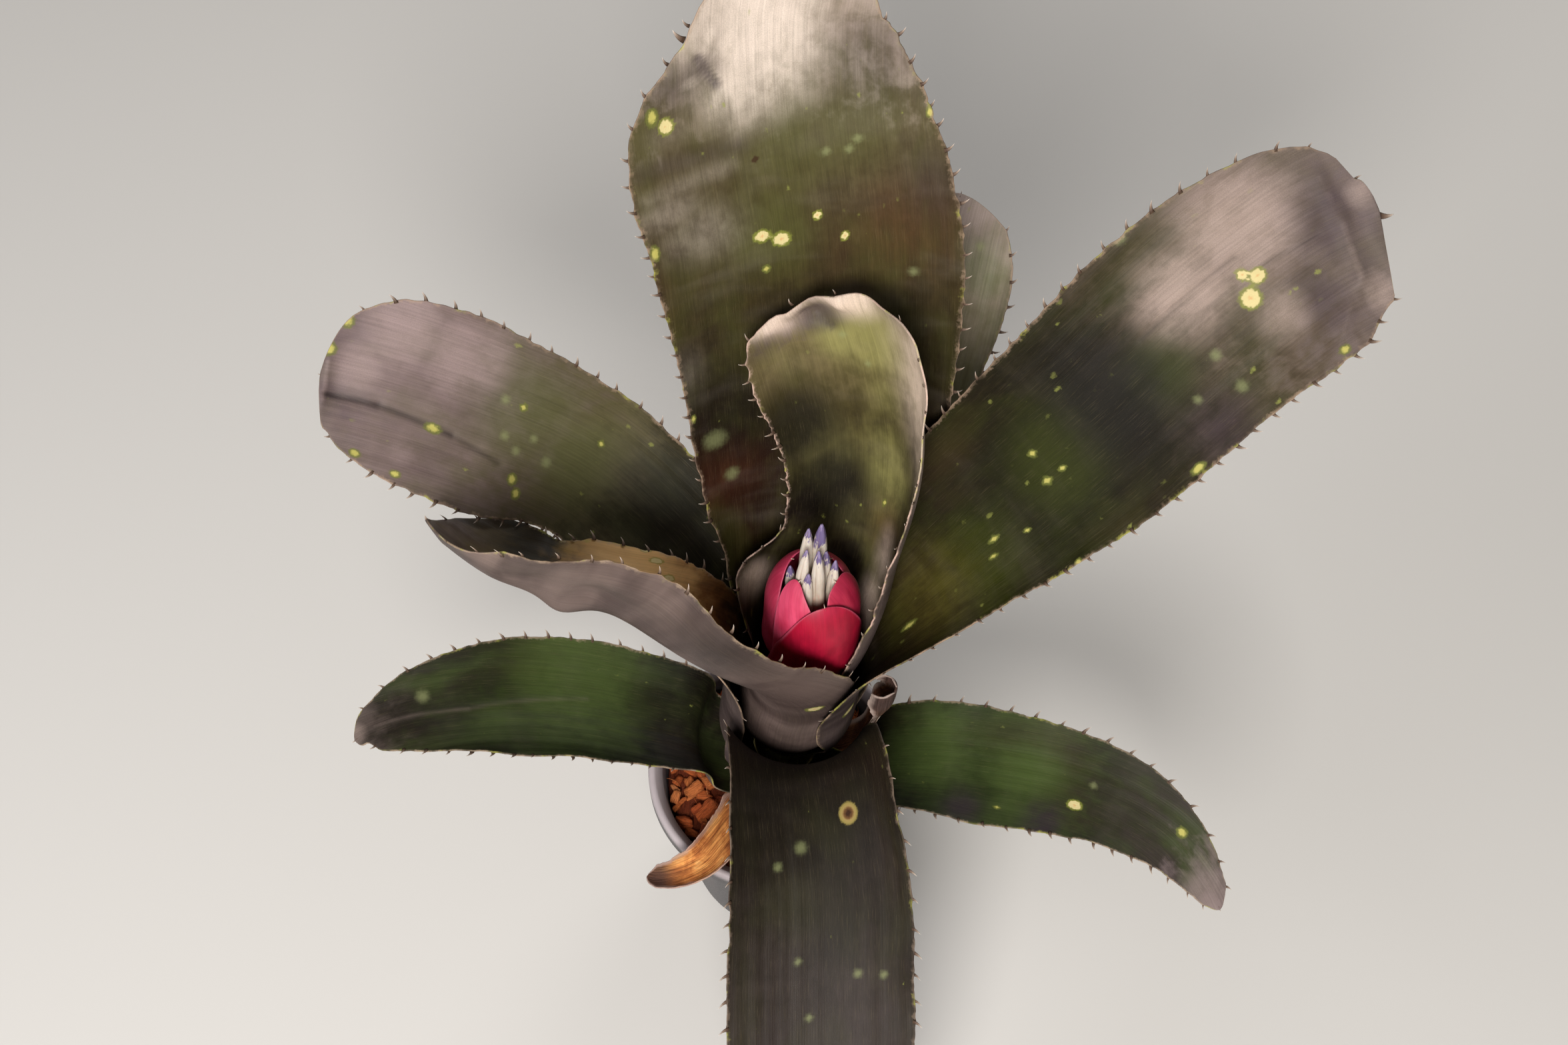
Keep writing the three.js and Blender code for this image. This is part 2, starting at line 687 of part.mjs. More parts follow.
// Bracts from the outermost: layer, azimuth of the middle and its lean towards the apex, half-width,
// how blunt the top is, height of the apex, and the push of the goblet to its own side
const BRACTS = [
  { name: "bract_front", layer: 0, azimuth: 285, lean: 0, half: 18.7, blunt: 2, apex: 182, push: [0.3, -1.25] },
  { name: "bract_left", layer: 1, azimuth: 252, lean: -40, half: 7.6, blunt: 6, apex: 184.2, push: [-0.3, -0.75] },
  { name: "bract_right", layer: 1, azimuth: 332, lean: 0, half: 9, blunt: 10, apex: 183.6, push: [0.45, -0.3] },
  { name: "bract_back_left", layer: 2, azimuth: 160, lean: -15, half: 13.2, blunt: 6, apex: 182, push: [-1.1, 1.6] },
  { name: "bract_back_right", layer: 2, azimuth: 42, lean: 0, half: 10, blunt: 6, apex: 182, push: [0.1, 1.1] },
];

// A point of a bract: its place along the height and across, and the face, 1 outside and -1 inside
function bractPoint({ layer, azimuth, lean, half, blunt, apex, push }, t, u, face) {
  const z = bractFoot(layer) + (apex - bractFoot(layer)) * t;
  const radius = bractRadius(layer, z);
  const slope = (bractRadius(layer, z + 0.01) - bractRadius(layer, z - 0.01)) / 0.02;
  const round = Math.max(BRACT_END_WIDTH, half * Math.sqrt(Math.max(0, 1 - t ** blunt)));
  const arc = z > HEAD_SHOULDER_Z ? radius : HEAD_RADIUS - BRACT_PITCH * layer;
  const turn = radians(azimuth + lean * t ** 8) + (u * round) / arc;
  const flare = flareAt(layer, z);
  const centre = headAxisAt(z);
  const tilt = Math.hypot(1, slope);
  const off = (face * BRACT_THICKNESS) / 2;
  const reach = radius + off / tilt;
  return new THREE.Vector3(
    centre.x + push[0] * flare + reach * Math.cos(turn),
    centre.y + push[1] * flare + reach * Math.sin(turn),
    z - (off * slope) / tilt,
  );
}

function makeBract(bract) {
  const rings = [];
  for (let r = 0; r <= BRACT_ROWS; r++) {
    const t = Math.sin((r / BRACT_ROWS) * (Math.PI / 2));
    const ring = [];
    for (let c = 0; c <= BRACT_COLUMNS; c++) ring.push(bractPoint(bract, t, (2 * c) / BRACT_COLUMNS - 1, 1));
    for (let c = BRACT_COLUMNS; c >= 0; c--) ring.push(bractPoint(bract, t, (2 * c) / BRACT_COLUMNS - 1, -1));
    rings.push(ring);
  }
  addMesh(bract.name, stripBody(rings), MATERIALS.bract);
}

// Buds stand in a ring on their seat: azimuth of the foot, and the tip
const BUDS = [
  { name: "bud_right_tall", azimuth: 74, tip: [11.9, 10.5, 200.4] },
  { name: "bud_left_tall", azimuth: 115, tip: [8.5, 10, 199] },
  { name: "bud_left", azimuth: 205, tip: [8, 5.9, 195] },
  { name: "bud_front", azimuth: 250, tip: [8.5, 2.6, 188] },
  { name: "bud_right", azimuth: 25, tip: [13.2, 7.9, 190.6] },
  { name: "bud_middle", azimuth: 295, tip: [11.1, 5.1, 196] },
  { name: "bud_far_right", azimuth: 340, tip: [15.6, 5.5, 190.2] },
  { name: "bud_far_left", azimuth: 160, tip: [3.7, 7, 184.5] },
];

function makeBud({ name, azimuth, tip }) {
  const seat = headAxisAt(BUD_FOOT_Z);
  const foot = new THREE.Vector3(
    seat.x + BUD_RING * Math.cos(radians(azimuth)),
    seat.y + BUD_RING * Math.sin(radians(azimuth)),
    BUD_FOOT_Z,
  );
  const profile = [
    [0, 0.6 * BUD_RADIUS],
    [0.15, 0.8 * BUD_RADIUS],
    [0.45, BUD_RADIUS],
    [0.72, 0.96 * BUD_RADIUS],
    [0.88, 0.65 * BUD_RADIUS],
    [1, 0.2 * BUD_RADIUS],
  ];
  const end = new THREE.Vector3(...tip);
  const rings = profile.map(([t, radius]) => ringAt(foot.clone().lerp(end, t), radius, 10));
  addMesh(name, ringBody(rings), MATERIALS.bud);
}

makePot();
makeSubstrate();
makeStem();
LEAVES.forEach(makeLeaf);
DRIED_LEAVES.forEach(makeDriedLeaf);
makeScape();
BRACTS.forEach(makeBract);
BUDS.forEach(makeBud);

export default part;
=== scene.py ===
# Looks of a potted dark prince billbergia: finely modelled leaves with hooked spines, a pink
# flower head with white buds, dried leaves, husk chips and a small nursery pot.
# The formulas of the leaves and bracts follow the part's own, in millimetres, and each mesh is
# written out in metres.
import itertools
import math

import bpy
import numpy as np
from mathutils import Euler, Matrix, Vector


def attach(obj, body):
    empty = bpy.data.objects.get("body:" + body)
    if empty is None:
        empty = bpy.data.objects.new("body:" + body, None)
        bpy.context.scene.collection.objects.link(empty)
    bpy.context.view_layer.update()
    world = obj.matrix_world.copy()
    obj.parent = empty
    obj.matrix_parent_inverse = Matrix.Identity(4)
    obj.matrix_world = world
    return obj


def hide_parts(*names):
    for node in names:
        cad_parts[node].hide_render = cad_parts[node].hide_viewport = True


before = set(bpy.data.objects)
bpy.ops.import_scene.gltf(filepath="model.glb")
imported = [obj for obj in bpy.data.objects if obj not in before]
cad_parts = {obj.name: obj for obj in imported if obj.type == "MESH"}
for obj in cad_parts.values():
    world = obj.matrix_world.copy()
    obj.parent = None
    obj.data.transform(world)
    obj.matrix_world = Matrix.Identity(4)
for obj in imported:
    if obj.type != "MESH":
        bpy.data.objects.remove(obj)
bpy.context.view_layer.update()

MM = 0.001
UP = np.array([0.0, 0.0, 1.0])

# The photograph's camera: place in millimetres, pitch from straight down, lens and picture size
CAMERA_PLACE = np.array([2.06, -263.5, 676.1])
CAMERA_TILT = math.radians(30)
CAMERA_LENS = 48.75
SENSOR_WIDTH = 36.0
PICTURE_WIDTH = 2352
PICTURE_HEIGHT = 1568
FOCAL_PIXELS = PICTURE_WIDTH * CAMERA_LENS / SENSOR_WIDTH

# Pot and substrate
POT_HEIGHT = 70
POT_RIM_RADIUS = 40
POT_BASE_RADIUS = 28
POT_WALL = 1.4
POT_FLOOR = 2
POT_LIP = 2.6
POT_LIP_HEIGHT = 7
POT_SIDES = 144
FOOT_ROUNDING = 1.2
RIM_ROUNDING = 1.3
DRAIN_HOLES = 6
DRAIN_RADIUS = 3.2
DRAIN_RING = 19
SOIL_LEVEL = 62
SOIL_GAP = 0.4
CHIPS = 190
CHIP_SPACING = 2.5
FIBRES = 90
FIBRE_RINGS = 9
FIBRE_STEP = 0.75

# Stem, tube and nested sheaths
STEM_RADIUS = 9.4
STEM_BOTTOM = 20
STEM_TOP = 106
LEAN_START = 60
LEAN_X = 9.2 / 97
LEAN_Y = 4 / 97
SHEATH_FOOT_RADIUS = 10.3
SHEATH_FOOT_Z = 66
SHEATH_STEP_Z = 3.6
SHEATH_INNER_RADIUS = 14.4
SHEATH_PITCH = 1.6
SHEATH_FLARE = 17
LAST_LAYER = 10

# Leaf blades
LEAF_THICKNESS = 0.9
MARGIN_THINNING = 0.45
ROW_PITCH = 0.95
LEAF_COLUMNS = 68
MARGIN_SWELL = 0.24
SPINE_LENGTH = 2.35
SPINE_HOOK = 1.5
SPINE_HALF_BASE = 0.62
SPINE_PITCH = 6.6
SPINE_SINK = 0.45
SPINE_RINGS = 6
SPINE_SIDES = 6
TIP_SHORTENING = 0.22

# Flower head
HEAD_FOOT_Z = 136
HEAD_STEP_Z = 2.2
HEAD_RADIUS = 13.4
HEAD_LEAN_X = 0.04
HEAD_LEAN_Y = 0.06
HEAD_SHOULDER_Z = 168
HEAD_DOME_HEIGHT = 18.5
BRACT_FOOT_RADIUS = 3.7
BRACT_PITCH = 0.95
BRACT_THICKNESS = 0.6
BRACT_FLARE = 12
BRACT_ROWS = 60
BRACT_COLUMNS = 40
BRACT_END_WIDTH = 0.4
SCAPE_RADIUS = 2.6
BUD_FOOT_Z = 157
BUD_RING = 4.9
BUD_ROWS = 44
BUD_SIDES = 30


def unit(vectors):
    return vectors / np.linalg.norm(vectors, axis=-1, keepdims=True)


def dot(a, b):
    return np.sum(a * b, axis=-1, keepdims=True)


def smooth(value):
    value = np.clip(value, 0, 1)
    return value * value * (3 - 2 * value)


def bell(offset):
    """1 where the offset is 0, falling off on both sides."""
    return np.exp(-(offset**2))


def waves(x, y, seed, count=6):
    """Smooth repeatable noise from a few crossing waves, about -1 to 1."""
    draw = np.random.default_rng(seed)
    total = 0
    for _ in range(count):
        turn = draw.uniform(0, 2 * math.pi)
        rate = draw.uniform(0.6, 1.7)
        phase = draw.uniform(0, 2 * math.pi)
        total = total + np.sin(rate * (x * math.cos(turn) + y * math.sin(turn)) + phase)
    return total / math.sqrt(count)


# Meshes

def link(name, data):
    """A new object in the scene."""
    obj = bpy.data.objects.new(name, data)
    bpy.context.scene.collection.objects.link(obj)
    return obj


class Build:
    """Collects closed bodies, in millimetres, with values at their points into one mesh."""

    def __init__(self):
        self.bodies = []

    def add(self, points, faces, **fields):
        self.bodies.append((points, faces, fields))

    def add_rings(self, rings, **fields):
        """A closed body through rings of points; a list in a field holds a part for each ring."""
        points = np.concatenate(rings)
        for key, value in fields.items():
            if isinstance(value, list):
                fields[key] = np.concatenate(value)
        self.add(points, outward(points, tube_faces(len(rings), len(rings[0]))), **fields)

    def finish(self, name):
        """A smooth mesh object; a field that a body lacks is 0 there."""
        mesh = bpy.data.meshes.new(name)
        points = np.concatenate([body[0] for body in self.bodies])
        starts = np.cumsum([0] + [len(body[0]) for body in self.bodies])
        faces = [(body[1] + start).tolist() for body, start in zip(self.bodies, starts)]
        mesh.from_pydata((points * MM).tolist(), [], list(itertools.chain(*faces)))
        mesh.polygons.foreach_set("use_smooth", [True] * len(mesh.polygons))
        for key in dict.fromkeys(key for body in self.bodies for key in body[2]):
            values = []
            for own_points, _, fields in self.bodies:
                value = np.asarray(fields.get(key, 0), np.float32)
                values.append(np.full(len(own_points), value) if value.ndim == 0 else value)
            values = np.concatenate(values)
            kind, slot = ("FLOAT", "value") if values.ndim == 1 else ("FLOAT_VECTOR", "vector")
            mesh.attributes.new(key, kind, "POINT").data.foreach_set(slot, values.ravel())
        mesh.update()
        return link(name, mesh)


def tube_faces(rows, loop, close_ends=True):
    """Quads between closed loops of points; the ends are filled by strips across the loop."""
    r, i = np.meshgrid(np.arange(rows - 1), np.arange(loop), indexing="ij")
    a = (r * loop + i).ravel()
    b = (r * loop + (i + 1) % loop).ravel()
    quads = np.stack([a, b, b + loop, a + loop], 1)
    if not close_ends:
        return quads
    k = np.arange(loop // 2 - 1)
    near = np.stack([(loop - k - 1) % loop, loop - k - 2, k + 1, k], 1)
    far = (rows - 1) * loop + np.stack([k, k + 1, loop - k - 2, loop - k - 1], 1)
    return np.concatenate([quads, near, far])


def outward(points, faces):
    """The quads turned so that the closed body's volume is positive."""
    a, b, c, d = (points[faces[:, k]] for k in range(4))
    volume = np.sum(np.cross(a, b) * c) + np.sum(np.cross(a, c) * d)
    return faces if volume > 0 else faces[:, ::-1]


def full_turn(sides):
    return np.arange(sides) * 2 * math.pi / sides


def heading(turn):
    """The level direction at an angle."""
    return np.array([math.cos(turn), math.sin(turn), 0])


def circle(centre, radii, turns):
    """Points at a level round a centre."""
    return np.asarray(centre) + np.stack([radii * np.cos(turns), radii * np.sin(turns), 0 * turns], 1)


def lathe(profile, sides, centre=(0, 0)):
    """Points and quads of a closed body of revolution; both ends of the profile lie on the axis."""
    points = np.concatenate([circle([*centre, z], radius, full_turn(sides)) for radius, z in profile])
    return points, outward(points, tube_faces(len(profile), sides, close_ends=False))


# Tube of leaves

def axis_at(z):
    rise = max(0, z - LEAN_START)
    return np.array([LEAN_X * rise, LEAN_Y * rise, z])


def sheath_foot(layer):
    return SHEATH_FOOT_Z + SHEATH_STEP_Z * layer


def sheath_radius(layer, z):
    full = SHEATH_INNER_RADIUS + SHEATH_PITCH * (LAST_LAYER - layer)
    t = min(1, max(0, (z - sheath_foot(layer)) / SHEATH_FLARE))
    return SHEATH_FOOT_RADIUS + (full - SHEATH_FOOT_RADIUS) * math.sin(t * math.pi / 2)


def sheath_stations(layer, azimuth, top, foot, left, right, steps=4):
    turn = math.radians(azimuth)
    rows = []
    for t in np.linspace(0, 1, steps):
        z = sheath_foot(layer) + (top - sheath_foot(layer)) * t
        radius = sheath_radius(layer, z)
        x, y, _ = axis_at(z) + radius * heading(turn)
        grow = min(1, 1.5 * t)
        widths = [foot + (left - foot) * grow, foot + (right - foot) * grow]
        rows.append([x, y, z, azimuth, 0, *widths, 1 / radius, 1 / radius, 0])
    return rows


def blade_station(x, y, z, azimuth, bank, left, right, bow, bow_left=None):
    return [x, y, z, azimuth, bank, left, right, 1 / bow, 1 / (bow_left or bow), 1]


def spline(stations, t):
    count = len(stations)
    i = np.minimum(count - 2, np.floor(t).astype(int))
    f = (t - i)[:, None]
    p0, p1, p2, p3 = (stations[np.clip(i + k, 0, count - 1)] for k in (-1, 0, 1, 2))
    square = 2 * p0 - 5 * p1 + 4 * p2 - p3
    cube = 3 * p1 - p0 - 3 * p2 + p3
    return 0.5 * (2 * p1 + (p2 - p0) * f + square * f * f + cube * f * f * f)


class LeafFrame:
    """Midrib points, side and inward directions and widths at running indices of the stations."""

    def __init__(self, stations, t):
        here = spline(stations, t)
        before = spline(stations, np.maximum(0, t - 0.01))
        after = spline(stations, np.minimum(len(stations) - 1, t + 0.01))
        self.free = np.clip(here[:, 9:10], 0, 1)
        tangent = unit(after[:, :3] - before[:, :3])
        self.tangent = unit(tangent * self.free + UP * (1 - self.free))
        turn = np.radians(here[:, 3])
        side = np.stack([-np.sin(turn), np.cos(turn), np.zeros_like(turn)], 1)
        side = unit(side - self.tangent * dot(side, self.tangent))
        inward = np.cross(self.tangent, side)
        bank = np.radians(here[:, 4:5])
        self.side = side * np.cos(bank) + inward * np.sin(bank)
        self.inward = inward * np.cos(bank) - side * np.sin(bank)
        self.point = here[:, :3]
        self.left, self.right, self.bend, self.bend_left = (here[:, k:k + 1] for k in (5, 6, 7, 8))

    def surface(self, arc, lift):
        """Points at an arc from the midrib and a lift from the middle of the leaf, as rows by columns."""
        bend = np.maximum(np.where(arc > 0, self.bend_left, self.bend), 1e-4)
        angle = arc * bend
        across = (np.sin(angle) / bend - lift * np.sin(angle))[..., None]
        inwards = ((1 - np.cos(angle)) / bend + lift * np.cos(angle))[..., None]
        return self.point[:, None] + self.side[:, None] * across + self.inward[:, None] * inwards


def picture(points):
    """Where points land in the photograph, in its pixels."""
    rel = points - CAMERA_PLACE
    depth = rel[..., 1] * math.sin(CAMERA_TILT) - rel[..., 2] * math.cos(CAMERA_TILT)
    up = rel[..., 1] * math.cos(CAMERA_TILT) + rel[..., 2] * math.sin(CAMERA_TILT)
    x = PICTURE_WIDTH / 2 + FOCAL_PIXELS * rel[..., 0] / depth
    y = PICTURE_HEIGHT / 2 - FOCAL_PIXELS * up / depth
    return x, y


MARGIN_TURNS = np.radians([55, 20, -20, -55])


def leaf_loop(columns):
    """Around a leaf's section: place across, lift in half thicknesses, and reach past the margin."""
    k = np.linspace(-1, 1, columns + 1)
    across = np.sin(k * 1.35) / math.sin(1.35)
    flat = np.ones(columns + 1)
    margin = np.ones(4)
    arc = np.cos(MARGIN_TURNS)
    rise = np.sin(MARGIN_TURNS)
    u = np.concatenate([across, margin, across[::-1], -margin])
    lift = np.concatenate([flat, rise, -flat, rise[::-1]])
    reach = np.concatenate([0 * flat, arc, 0 * flat, -arc])
    face = np.concatenate([flat, 0 * margin, -flat, 0 * margin])
    return u, lift, reach, face


def spine_places(start, end, draw):
    places = []
    at = start + draw.uniform(0, 2)
    while at < end:
        places.append(at)
        at += SPINE_PITCH * draw.uniform(0.86, 1.14)
    return np.array(places)


def add_spine(build, root, out, forward, normal, size, flow, along):
    """A hooked flat spine: rings that narrow from the margin to a sharp point."""
    length, hook, half_base = size
    turns = full_turn(SPINE_SIDES)
    rings = []
    tips = []
    for t in np.linspace(0, 1, SPINE_RINGS):
        middle = root + out * (length * t - SPINE_SINK * (1 - t)) + forward * hook * t * t
        narrow = (1 - t) ** 0.9 + 0.02
        lean = unit(forward * (1 - 0.5 * t) - out * 0.35 * t)
        wide = np.outer(np.cos(turns), lean) * half_base * narrow
        thick = np.outer(np.sin(turns), normal) * (0.22 * narrow + 0.015)
        rings.append(middle + wide + thick)
        tips.append(np.full(SPINE_SIDES, 0.15 + 0.85 * t))
    flows = np.tile([*flow, 0], (SPINE_RINGS * SPINE_SIDES, 1))
    build.add_rings(rings, spine=tips, across=np.sign(flow[0]), along=along, flow=flows, face=1)


# Soft marks: pale ones are painted highlights, dark ones painted shade, and green, warm and violet ones the
# leaf's own patches, some of them partly painted glow or painted shade, as noted with the leaves.
SOFT_MARKS = ("painted_highlight", "green", "warm", "dark", "violet")
SHARP_MARKS = ("faint", "fleck", "spot", "dot", "ring")
MARK_DEFAULTS = (1, 1, 0)


class Leaf:
    """A leaf's rows along the midrib and columns across, its margins, relief, marks and spines."""

    def __init__(self, form):
        self.form = form
        self.seed = form["seed"]
        self.draw = np.random.default_rng(self.seed)
        stations = sheath_stations(*form["sheath"]) + [blade_station(*row) for row in form["blade"]]
        self.stations = np.array(stations, float)
        self.samples = np.linspace(0, len(stations) - 1, 1200)
        middle = LeafFrame(self.stations, self.samples).point
        self.reach = np.concatenate([[0], np.cumsum(np.linalg.norm(np.diff(middle, axis=0), axis=1))])
        self.length = self.reach[-1]
        self.end = self.length - form.get("tip_back", 1.0)
        rows = np.linspace(0, 1, int(self.end / ROW_PITCH) + 1) ** 0.97 * self.end
        tip_rows = np.linspace(self.end - 3, self.end - 0.02, 10)
        self.run = np.concatenate([rows[rows < self.end - 3], tip_rows])[:, None]
        self.u, self.lift, self.out, self.face = leaf_loop(form.get("columns", LEAF_COLUMNS))
        self.frames = self.frames_at(self.run[:, 0])
        self.free = smooth((self.frames.free - 0.3) / 0.7)
        self.widths = {1: self.rounded(self.frames.left), -1: self.rounded(self.frames.right)}
        self.plain_arc = self.u * self.width()
        self.x, self.y = picture(self.frames.surface(self.plain_arc, 0 * self.plain_arc))
        self.spines = {1: (), -1: ()}
        for sign in self.widths:
            self.shape_margin(sign)

    def frames_at(self, places):
        return LeafFrame(self.stations, np.interp(places, self.reach, self.samples))

    def rounded(self, width, at=None):
        """The width narrowed to the round tip."""
        at = self.run if at is None else at
        tip = self.form.get("tip", 6.0)
        return width * np.sqrt(np.clip(1 - np.clip((at - self.end + tip) / tip, 0, 1) ** 2, 0, 1))

    def width(self):
        return np.where(self.u > 0, self.widths[1], self.widths[-1])

    def find(self, px, py, half=0):
        """The arc and the distance along at which a pixel of the photograph shows the plain leaf."""
        away = np.hypot(self.x - px, self.y - py) + 1e6 * (self.plain_arc * half < 0)
        row, column = np.unravel_index(np.argmin(away), away.shape)
        return self.plain_arc[row, column], self.run[row, 0]

    def shape_margin(self, sign):
        """Gives one margin its rag, its notches and a swelling at each spine."""
        width = self.widths[sign]
        rag = waves(self.run * 0.8, 0.0, self.seed + 3 + sign)
        rag = rag + 0.6 * waves(self.run * 2.1, 0.0, self.seed + 7 + sign)
        width = width + self.free * self.form.get("rag", 0.12) * rag * np.minimum(1, width / 6)
        for px, py, deep, half in self.form.get("notches", ()):
            arc_at, at = self.find(px, py)
            if arc_at * sign > 0:
                width = width - deep * bell((self.run - at) / half)
        if "spines_from" in self.form:
            self.spines[sign] = spine_places(self.form["spines_from"], self.end - 1.2, self.draw)
            for at in self.spines[sign]:
                width = width + self.rounded(MARGIN_SWELL, at) * bell((self.run - at) / 0.8)
        self.widths[sign] = np.maximum(width, 0.05)

    def fold(self, arc, x0, y0, x1, y1, wide):
        """How near points lie to a line between two pixels of the leaf, from 1 on it to 0."""
        start = np.array(self.find(x0, y0))
        line = self.find(x1, y1) - start
        across, along = arc - start[0], self.run - start[1]
        t = np.clip((across * line[0] + along * line[1]) / (line @ line), 0, 1)
        return bell(np.hypot(across - t * line[0], along - t * line[1]) / wide)

    def relief(self, arc):
        """Pleats along the leaf, waves at the margins, a curled tip, dents and folds."""
        form, run, seed = self.form, self.run, self.seed
        pleats = waves(arc * 1.25 + 5, run * 0.02, seed + 11)
        pleats = pleats + 0.8 * waves(arc * 0.55, run * 0.035, seed + 12)
        ripples = np.abs(self.u) ** 5 * waves(run * 0.22 + 3 * np.sign(self.u), 0.0, seed + 13)
        blade = self.free * smooth((self.end + 4 - run) / 20)
        bow = blade * (form.get("pleat", 0.07) * pleats + form.get("ripple", 0.35) * ripples)
        curl, curl_wave = form.get("curl", (0, 0))
        curl = curl + curl_wave * waves(arc * 0.34, run * 0.3, seed + 15)
        bow = bow + bell((self.end - run) / 4.5) * curl
        for px, py, wide, long, height, half in form.get("dents", ()):
            arc_at, at = self.find(px, py, half)
            bow = bow + height * bell((arc - arc_at) / wide) * bell((run - at) / long)
        for *line, height, _, _ in form.get("folds", ()):
            bow = bow + height * self.fold(arc, *line)
        return bow

    def marks(self, arc):
        """A field for each kind of mark."""
        fields = {kind: 0 * arc for kind in SOFT_MARKS + SHARP_MARKS}
        for *line, _, kind, strength in self.form.get("folds", ()):
            fields[kind] = np.maximum(fields[kind], strength * self.fold(arc, *line))
        for kind in fields:
            for px, py, size, *more in self.form.get(kind, ()):
                stretch, strength, half = (*more, *MARK_DEFAULTS[len(more):])
                arc_at, at = self.find(px, py, half)
                value = np.clip(1 - np.hypot((arc - arc_at) * stretch, self.run - at) / size, 0, 1)
                if kind in SOFT_MARKS:
                    value = smooth(value) * strength
                else:
                    value = np.where(self.face * strength >= 0, value, 0)
                fields[kind] = np.maximum(fields[kind], value)
        return fields

    def add_margin_spine(self, build, sign, at, grow):
        """A spine on the margin, square to the outline and hooked towards the tip."""
        around = np.array([at - 0.7, at, at + 0.7])
        near = self.frames_at(around)
        width = np.interp(around, self.run[:, 0], self.widths[sign][:, 0])[:, None]
        outer = near.surface(sign * width, np.zeros((3, 1)))[:, 0]
        inner = near.surface(sign * (width - 0.6), np.zeros((3, 1)))[:, 0]
        forward = unit(outer[2] - outer[0])
        away = unit(outer[1] - inner[1])
        square = unit(away - forward * dot(away, forward) * 0.9)
        size = (SPINE_LENGTH * grow, SPINE_HOOK * min(grow, 1.1), SPINE_HALF_BASE * grow)
        normal = unit(np.cross(forward, away))
        flow = [sign * width[1, 0], at]
        add_spine(build, outer[1], square, forward, normal, size, flow, at / self.length)

    def add_spines(self, build):
        for sign, places in self.spines.items():
            for at in places:
                shorter = 1 - TIP_SHORTENING * smooth((at - self.end + 18) / 10)
                self.add_margin_spine(build, sign, at, self.draw.uniform(0.8, 1.12) * shorter)
        for px, py, grow in self.form.get("thorns", ()):
            arc_at, at = self.find(px, py)
            self.add_margin_spine(build, 1 if arc_at > 0 else -1, at, grow)
        if "mucro" in self.form:
            last = self.frames_at([self.end - 0.6])
            root, out, forward, normal = last.point[0], last.tangent[0], last.inward[0], last.side[0]
            add_spine(build, root, out, forward, normal, (self.form["mucro"], 0.4, 0.6), [0, self.end], 1)


def leaf_piece(name, form):
    """The leaf as a mesh, with the fields that its look reads."""
    leaf = Leaf(form)
    u, width = leaf.u, leaf.width()
    half = form.get("thickness", LEAF_THICKNESS) / 2
    arc = u * width + leaf.out * half * (1 - MARGIN_THINNING) * np.minimum(1, width / 2)
    lift = leaf.lift * half * (1 - MARGIN_THINNING * u * u) + leaf.relief(arc)
    whole = lambda value: list(np.broadcast_to(value, arc.shape))
    flow = np.stack([arc, np.broadcast_to(leaf.run, arc.shape), np.full(arc.shape, leaf.seed * 13.0)], -1)
    marks = {kind: list(value) for kind, value in leaf.marks(arc).items()}
    build = Build()
    build.add_rings(
        list(leaf.frames.surface(arc, lift)), across=whole(u), along=whole(leaf.run / leaf.length),
        flow=list(flow), face=whole(leaf.face), **marks,
    )
    leaf.add_spines(build)
    return build.finish(name + "_fine")


# Materials

def colour(code):
    """A linear colour from its sRGB hex code."""
    parts = [int(code[i:i + 2], 16) / 255 for i in (1, 3, 5)]
    return [p / 12.92 if p <= 0.04045 else ((p + 0.055) / 1.055) ** 2.4 for p in parts] + [1.0]


